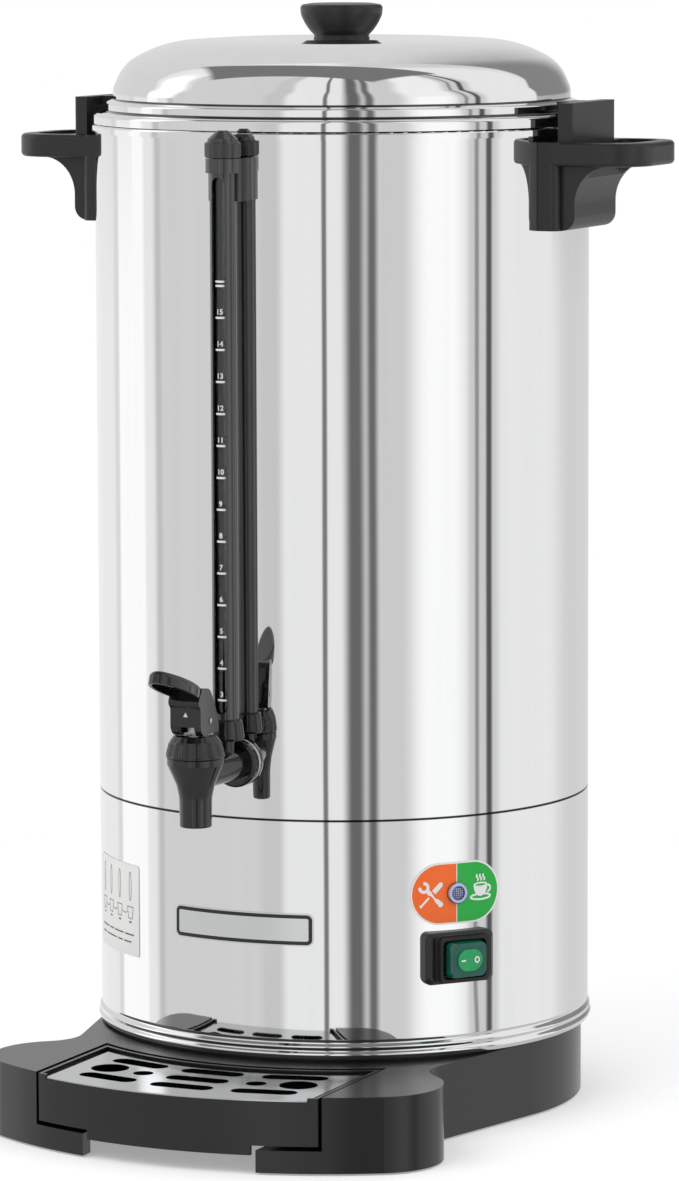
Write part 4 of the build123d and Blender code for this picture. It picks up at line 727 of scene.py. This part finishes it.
knob_low, knob_high = heights("lid_knob")
knob_r = extent("lid_knob")[1][0]
knob_foot_r, knob_neck_r = 16.4, 15.6
knob_line = [                      # the same, from the middle of its foot to the middle of its top
    (0, knob_low, 0),
    (knob_foot_r, knob_low, 0.6),
    (knob_foot_r, knob_low + 2.2, 0.6),
    (knob_neck_r, knob_low + 3.2, 1.2),
    (18.6, knob_low + 6.4, 9.0),
    (22.4, knob_low + 11.6, 30.0),
    (knob_r, knob_low + 17.0, 16.0),
    (knob_r - 0.2, knob_high - 1.0, 2.4),
    (knob_r - 7.0, knob_high, 20.0),
    (0, knob_high, 0),
]
knob_bowl = turned_about_axis(
    "knob_bowl", softened(knob_line), False, "lid_knob", finishes[slot_of["lid_knob"]],
    slot_of["lid_knob"], steps=128)
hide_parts("lid_knob")


# ---------------------------------------- grips
def grip_band(name, body, material, slot, axis_y, lows, highs, around, rows, depth):
    """Raised grip round a turned piece, lows and highs being (height, radius).

    Crossed cuts leave rows of small pyramids; with no rows the cuts run upright and leave ribs.
    The band is closed by a root that stands inside the piece.
    """
    root, per_tooth = 0.8, 4       # depth of the root, and points around each tooth

    def saw(t):
        return 1 - abs(2 * (t % 1) - 1)

    steps, levels = around * per_tooth, max(2, rows * per_tooth)
    band = bmesh.new()
    rings = []
    for j in [0, *range(levels + 1), levels]:
        sunk = len(rings) in (0, levels + 2)
        share = j / levels
        z = lows[0] + (highs[0] - lows[0]) * share
        r = lows[1] + (highs[1] - lows[1]) * share
        ring = []
        for i in range(steps):
            u, v = i / per_tooth, j / per_tooth
            height = min(saw(u + v), saw(u - v)) if rows else saw(u)
            reach = r - root if sunk else r + depth * height
            turn = 2 * pi * i / steps
            ring.append(band.verts.new(Vector((reach * sin(turn), axis_y - reach * cos(turn), z)) * MM))
        rings.append(ring)
    for j, ring in enumerate(rings):
        above = rings[(j + 1) % len(rings)]
        for i in range(steps):
            k = (i + 1) % steps
            band.faces.new((ring[i], ring[k], above[k], above[i]))
    mesh = bpy.data.meshes.new(name)
    band.to_mesh(mesh)
    band.free()
    return keep(name, mesh, body, material, slot)


cap_top = heights("gauge_cap")[1]
knurl_low, knurl_high = cap_top - 14.6, cap_top - 7.0
knurl_r = turned_radius("gauge_cap")
grip_band("cap_knurl", "gauge_cap", gauge_moulding, "gloss_black", gauge_y,
          (knurl_low, knurl_r), (knurl_high, knurl_r), around=42, rows=6, depth=0.42)

ribs_low, ribs_high = bonnet_low + 1.6, bonnet_low + 8.4
grip_band("bonnet_ribs", "urn", finishes["gloss_black"], "gloss_black", tap_y,
          (ribs_low, bonnet_r - 0.42), (ribs_high, bonnet_r - 2.2), around=64, rows=0, depth=0.3)


# ---------------------------------------- control panel
tool_u, tool_v, tool_lean = -16.0, -0.4, 45    # middle of the crossed tools, and their lean in degrees
shank = -8.0                       # lower end of the wrench and upper end of the driver, from that middle
wrench = stroke([(0, shank), (0, 4.2)], 2.5) + [arc(0, shank, 1.6, 0, 360, 18)[:-1]]
wrench += stroke(arc(0, 6.4, 2.5, 128, 412, 18), 1.8)                      # its open jaw
driver = stroke([(0, -8.6), (0, -2.0)], 1.2) + stroke([(0, 2.1), (0, -shank)], 2.9)
driver += [arc(0, -shank, 1.45, 0, 180, 12),                               # end of its handle, and its tip
           [(-0.6, -8.4), (-1.0, -9.6), (1.0, -9.6), (0.6, -8.4)]]
tools = moved(wrench, tool_u, tool_v, tool_lean) + moved(driver, tool_u, tool_v, -tool_lean)

cup_u, cup_v = 15.8, 1.2
brim, brim_v, squat = 4.7, 2.2, 0.26           # radius and height of the brim, and how flat it is seen
full = dict(start_deg=0, end_deg=360)
cup = [arc(0, brim_v, brim - 0.5, 180, 360, 20, squat) + arc(0, brim_v, brim, 0, -180, 20, 1.42)]
cup += stroke(arc(0, brim_v, brim - 0.45, **full, steps=28, squeeze=squat)[:-1], 0.9, closed=True)
cup += stroke(arc(brim + 0.2, -0.2, 1.9, 95, -95, 12), 1.1)                # handle
cup += stroke(arc(0, -4.7, 6.7, **full, steps=36, squeeze=0.24)[:-1], 1.1, closed=True)     # saucer
for u in (-2.2, 0.0, 2.2):                                                 # steam
    cup += stroke([(u + 0.6 * sin(t * pi / 4), 4.6 + t * 0.46) for t in range(9)], 0.95)
drawing("panel_pictograms", tools + moved(cup, cup_u, cup_v),
        wrapped(panel_az, lamp_z, outermost("panel_label")), "urn", white_ink, "panel_print", 0.04)


# ---------------------------------------- rocker marks
def on_rocker(u, v, w):
    """Placement on the rocker's island; the rest tilt turns it about its axle."""
    outward, across = wall_direction(panel_az)
    axle = outward * (body_r + axle_out)
    local = across * u + outward * (rocker_top - axle_out + w)
    return (axle + Matrix.Rotation(rocker_tilt, 3, "Z") @ local + Vector((0, 0, switch_z + v))) * MM


mark_out = 4.6                     # each mark from the middle of the island
switch_marks = moved(stroke([(-1.5, 0), (1.5, 0)], 0.9), -mark_out, 0)
ring = arc(0, 0, 1.35, **full, steps=24, squeeze=1.15)[:-1]
switch_marks += moved(stroke(ring, 0.8, closed=True), mark_out, 0)
drawing("switch_marks", switch_marks, on_rocker, "rocker", white_ink, "switch_green", 0.03)


# ---------------------------------------- side label
label_low, label_high = heights("side_label")
label_z = (label_low + label_high) / 2
line_t, rule_t = 0.45, 0.8
figure_pitch = 14.0                # four beakers in a row, joined by slack lines
slim = stroke(arc(0, 0, 1.3, **full, steps=24, squeeze=6.5)[:-1], line_t, closed=True)
beaker = stroke([(-3.4, 3.4), (3.4, 3.4), (2.2, -3.4), (-2.2, -3.4)], line_t, closed=True)
foot = stroke([(-1.4, 0), (1.4, 0)], 1.0)
drawn = []
for column in (-1.5, -0.5, 0.5, 1.5):
    for shape, v in ((slim, 14.0), (beaker, -1.6), (foot, -7.2)):
        drawn += moved(shape, column * figure_pitch, v)
for gap in (-1, 0, 1):
    drawn += moved(stroke(arc(0, 0, 3.4, 200, 340, 12, 0.5), line_t), gap * figure_pitch, -0.6)
rules = {                          # height: start and end of each run across
    -14.6: ((-26, -12), (-10, -3), (-1, 12), (14, 25)),
    -19.0: ((-26, -18), (-16, 2), (4, 11), (13, 22)),
}
for v, runs in rules.items():
    for start, end in runs:
        drawn += stroke([(start + (end - start) * i / 6, v) for i in range(7)], rule_t)
drawing("side_label_lines", drawn, wrapped(side_az, label_z, outermost("side_label")), "urn", dark_ink,
        "side_print", 0.04)


# ---------------------------------------- lever mark
lever_mark_z = bonnet_high + 12.6
lever_mesh = nodes["tap_lever"].data
lever_shape = BVHTree.FromPolygons(
    [v.co for v in lever_mesh.vertices], [p.vertices for p in lever_mesh.polygons])


def on_lever(u, v, w):
    """Placement on the front of the lever's block, found by looking along +Y."""
    start = Vector((u * MM, cad_low[1] - 0.1, (lever_mark_z + v) * MM))
    hit = lever_shape.ray_cast(start, Vector((0, 1, 0)))[0]
    return hit - Vector((0, w * MM, 0))


drawing("lever_mark", [[(-1.4, -1.1), (1.4, -1.1), (0.0, 1.4)]], on_lever, "tap_lever", white_ink,
        "gloss_black", 0.04)


# ---------------------------------------- return spring
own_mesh(nodes["stem_spring"])


# ---------------------------------------- studio
view_azimuth = 24.6                # degrees to the right of the tap
# Upright boards around the urn. Each stands at an azimuth from the side that is looked from, with its
# half width and soft edge, all in degrees, and a grey.
boards = (
    (150.0, 18.0, 22.0, "#dcdcdc"), (-130.0, 2.0, 3.0, "#e6e6e6"), (-68.0, 28.0, 4.0, "#dcdcdc"),
    (-95.0, 0.8, 2.0, "#cccccc"), (-34.0, 3.0, 5.0, "#d2d2d2"), (68.5, 6.0, 5.0, "#d8d8d8"),
    (64.9, 0.4, 1.4, "#989898"), (71.6, 0.7, 1.8, "#5c5c5c"), (46.0, 8.0, 8.0, "#ffffff"),
    (23.0, 4.0, 8.0, "#d8d8d8"), (5.5, 1.5, 5.5, "#6c6c6c"), (13.4, 0.6, 3.4, "#707070"),
    (-8.4, 0.5, 1.2, "#808080"),
)
# Upright lamps in the same way, with a strength: beside the urn, and rising above it.
low_lamps = ((-117.0, 10.0, 3.0, 1.12), (46.0, 5.0, 8.0, 1.12))
tall_lamps = ((-103.0, 4.0, 9.0, 1.6),)
# Soft edges, each between two values of a unit direction's part upwards, away or to the right.
low_lamp_head = (0.22, 0.3)
tall_lamp_foot, tall_lamp_head = (0.0, 0.08), (0.4, 0.75)
wall_start, wall_foot, wall_dusk = (0.40, 0.43), (-0.08, 0.02), (0.05, 0.5)
table_edge = (-0.5, -0.3)
# The board overhead lies skewed: middle, half size and soft edge across it and along it.
overhead_skew = 0.55
overhead_across, overhead_along = (-0.14, 0.36, 0.03), (-0.08, 0.66, 0.05)


def studio():
    """White surroundings with boards and lamps, a rear wall, a board overhead and a table below.

    Only mirrors and glass show them; everything else gets an even soft light.
    """
    world = bpy.data.worlds.new("studio")
    bpy.context.scene.world = world
    world.use_nodes = True
    tree = world.node_tree
    ray = add(tree, "ShaderNodeLightPath")
    direction = add(tree, "ShaderNodeTexCoord").outputs["Generated"]
    ahead = radians(view_azimuth)
    right, away, up = (
        add(tree, "ShaderNodeVectorMath", {0: direction, 1: axis}, operation="DOT_PRODUCT").outputs["Value"]
        for axis in ((cos(ahead), sin(ahead), 0), (-sin(ahead), cos(ahead), 0), (0, 0, 1)))
    near = add(tree, "ShaderNodeMath", {0: away, 1: -1.0}, operation="MULTIPLY").outputs[0]
    azimuth = add(tree, "ShaderNodeMath", {0: right, 1: near}, operation="ARCTAN2").outputs[0]

    height = add(tree, "ShaderNodeMath", {0: up}, operation="ABSOLUTE").outputs[0]
    low_down = add(tree, "ShaderNodeMapRange", {
        "Value": height, "From Min": low_lamp_head[0], "From Max": low_lamp_head[1],
        "To Min": 1.0, "To Max": 0.0}).outputs["Result"]
    risen = add(tree, "ShaderNodeMapRange", {
        "Value": up, "From Min": tall_lamp_foot[0], "From Max": tall_lamp_foot[1]}).outputs["Result"]
    lamp_top = add(tree, "ShaderNodeMapRange", {
        "Value": up, "From Min": tall_lamp_head[0], "From Max": tall_lamp_head[1],
        "To Min": 1.0, "To Max": 0.0}).outputs["Result"]
    higher = add(tree, "ShaderNodeMath", {0: risen, 1: lamp_top}, operation="MULTIPLY").outputs[0]

    def stand(shade, centre, half, soft, colour, within=1.0):
        """An upright board or lamp at an azimuth, laid over the shade so far."""
        apart = add(tree, "ShaderNodeMath", {
            0: azimuth, 1: radians(centre)}, operation="SUBTRACT").outputs[0]
        around = add(tree, "ShaderNodeMath", {0: apart, 1: pi, 2: -pi}, operation="WRAP").outputs[0]
        size = add(tree, "ShaderNodeMath", {0: around}, operation="ABSOLUTE").outputs[0]
        cover = add(tree, "ShaderNodeMapRange", {
            "Value": size, "From Min": radians(half), "From Max": radians(half + soft),
            "To Min": 1.0, "To Max": 0.0}, interpolation_type="SMOOTHSTEP").outputs["Result"]
        share = add(tree, "ShaderNodeMath", {0: cover, 1: within}, operation="MULTIPLY").outputs[0]
        return add(tree, "ShaderNodeMix", {
            "Factor": share, "A": shade, "B": colour}, data_type="RGBA").outputs["Result"]

    shade = add(tree, "ShaderNodeRGB").outputs[0]
    shade.default_value = linear("#f6f6f6")
    for centre, half, soft, grey in boards:
        shade = stand(shade, centre, half, soft, linear(grey))
    for lamps, window in ((low_lamps, low_down), (tall_lamps, higher)):
        for centre, half, soft, strength in lamps:
            shade = stand(shade, centre, half, soft, (strength, strength, strength, 1), window)

    # the rear wall, darker to the right
    dusk = add(tree, "ShaderNodeMapRange", {
        "Value": right, "From Min": wall_dusk[0], "From Max": wall_dusk[1]},
        interpolation_type="SMOOTHSTEP").outputs["Result"]
    rear = add(tree, "ShaderNodeMix", {
        "Factor": dusk, "A": linear("#e0e0e0"), "B": linear("#8c8c8c")}, data_type="RGBA").outputs["Result"]
    behind = add(tree, "ShaderNodeMapRange", {
        "Value": away, "From Min": wall_start[0], "From Max": wall_start[1]}).outputs["Result"]
    above = add(tree, "ShaderNodeMapRange", {
        "Value": up, "From Min": wall_foot[0], "From Max": wall_foot[1]},
        interpolation_type="SMOOTHSTEP").outputs["Result"]
    rear_wall = add(tree, "ShaderNodeMath", {0: behind, 1: above}, operation="MULTIPLY").outputs[0]
    shade = add(tree, "ShaderNodeMix", {
        "Factor": rear_wall, "A": shade, "B": rear}, data_type="RGBA").outputs["Result"]

    # the board overhead
    skew = add(tree, "ShaderNodeMath", {0: right, 1: overhead_skew}, operation="MULTIPLY").outputs[0]
    across = add(tree, "ShaderNodeMath", {0: away, 1: skew}, operation="ADD").outputs[0]
    slant = add(tree, "ShaderNodeMath", {0: away, 1: overhead_skew}, operation="MULTIPLY").outputs[0]
    along = add(tree, "ShaderNodeMath", {0: right, 1: slant}, operation="SUBTRACT").outputs[0]
    overhead = above
    for value, (centre, half, soft) in ((across, overhead_across), (along, overhead_along)):
        apart = add(tree, "ShaderNodeMath", {0: value, 1: centre}, operation="SUBTRACT").outputs[0]
        size = add(tree, "ShaderNodeMath", {0: apart}, operation="ABSOLUTE").outputs[0]
        cover = add(tree, "ShaderNodeMapRange", {
            "Value": size, "From Min": half - soft, "From Max": half,
            "To Min": 1.0, "To Max": 0.0}).outputs["Result"]
        overhead = add(tree, "ShaderNodeMath", {0: overhead, 1: cover}, operation="MULTIPLY").outputs[0]
    shade = add(tree, "ShaderNodeMix", {
        "Factor": overhead, "A": shade, "B": linear("#7c7c7c")}, data_type="RGBA").outputs["Result"]

    table = add(tree, "ShaderNodeMapRange", {
        "Value": up, "From Min": table_edge[0], "From Max": table_edge[1],
        "To Min": 1.0, "To Max": 0.0}).outputs["Result"]
    shade = add(tree, "ShaderNodeMix", {
        "Factor": table, "A": shade, "B": linear("#c6c6c6")}, data_type="RGBA").outputs["Result"]

    mirrored = add(tree, "ShaderNodeMath", {
        0: ray.outputs["Is Glossy Ray"], 1: ray.outputs["Is Transmission Ray"]},
        operation="MAXIMUM").outputs[0]
    soft_light = add(tree, "ShaderNodeMix", {
        "Factor": mirrored, "A": linear("#dadada"), "B": shade}, data_type="RGBA").outputs["Result"]
    seen = add(tree, "ShaderNodeMix", {
        "Factor": ray.outputs["Is Camera Ray"], "A": soft_light, "B": (1, 1, 1, 1)}, data_type="RGBA")
    tree.links.new(seen.outputs["Result"], tree.nodes["Background"].inputs["Color"])
    tree.nodes["Background"].inputs["Strength"].default_value = 1.0


studio()


def soft_box(name, azimuth_deg, elevation_deg, distance, size, power):
    """Square area lamp that looks at the urn's middle and isn't mirrored."""
    aim = Vector((0, 0, 0.3))
    lamp = bpy.data.lights.new(name, "AREA")
    lamp.size = size
    lamp.energy = power
    a, e = radians(azimuth_deg), radians(elevation_deg)
    place = Vector((sin(a) * cos(e), -cos(a) * cos(e), sin(e))) * distance + aim
    holder = bpy.data.objects.new(name, lamp)
    holder.location = place
    holder.rotation_euler = (aim - place).to_track_quat("-Z", "Y").to_euler()
    holder.visible_glossy = False
    bpy.context.scene.collection.objects.link(holder)


soft_box("key_lamp", -20, 50, 2.6, 1.6, 16)
soft_box("fill_lamp", 80, 35, 2.8, 1.6, 8)


# ---------------------------------------- floor
floor_r = 0.9
camera_lift = 0.32                 # glow that only the view sees, so that the board meets the white around it


def white_floor():
    """White painted board: it fades into the white surroundings and keeps a soft shadow."""
    made, tree, shader, point = finish("board_painted_white")
    paint = add(tree, "ShaderNodeTexNoise", {"Vector": point, "Scale": per(4.0), "Detail": 3.0})
    colour = add(tree, "ShaderNodeMix", {
        "Factor": paint.outputs["Fac"], "A": linear("#f3f3f3"), "B": linear("#f6f6f6")}, data_type="RGBA")
    direct = add(tree, "ShaderNodeLightPath").outputs["Is Camera Ray"]
    lift = add(tree, "ShaderNodeMath", {0: direct, 1: camera_lift}, operation="MULTIPLY").outputs[0]
    set_shader(tree, shader, Base_Color=colour.outputs["Result"], Roughness=0.8,
               Emission_Color=(1, 1, 1, 1), Emission_Strength=lift, Specular_IOR_Level=0.2)
    return made


disc = bmesh.new()
bmesh.ops.create_circle(disc, cap_ends=True, segments=128, radius=floor_r)
floor_mesh = bpy.data.meshes.new("floor")
disc.to_mesh(floor_mesh)
disc.free()
floor_mesh.materials.append(white_floor())
floor = bpy.data.objects.new("floor", floor_mesh)
bpy.context.scene.collection.objects.link(floor)
floor.visible_glossy = False


# ---------------------------------------- camera
view_distance, view_height = 3.3779, 0.7137
view_pitch, view_roll = 0.1222, -0.0034
frame_w, frame_h = 679, 1181
centre_x = 343.5                   # the urn's axis stands this far across the frame

azimuth = radians(view_azimuth)
eye = bpy.data.cameras.new("view")
eye.lens = 175.0
eye.sensor_width = 36.0
eye.shift_x = (frame_w / 2 - centre_x) / frame_h
camera = bpy.data.objects.new("view", eye)
camera.location = (view_distance * sin(azimuth), -view_distance * cos(azimuth), view_height)
look = Vector((-sin(azimuth) * cos(view_pitch), cos(azimuth) * cos(view_pitch), -sin(view_pitch)))
camera.rotation_mode = "QUATERNION"
camera.rotation_quaternion = look.to_track_quat("-Z", "Y") @ Quaternion((0, 0, 1), view_roll)
bpy.context.scene.collection.objects.link(camera)
bpy.context.scene.camera = camera
bpy.context.scene.view_settings.view_transform = "Standard"
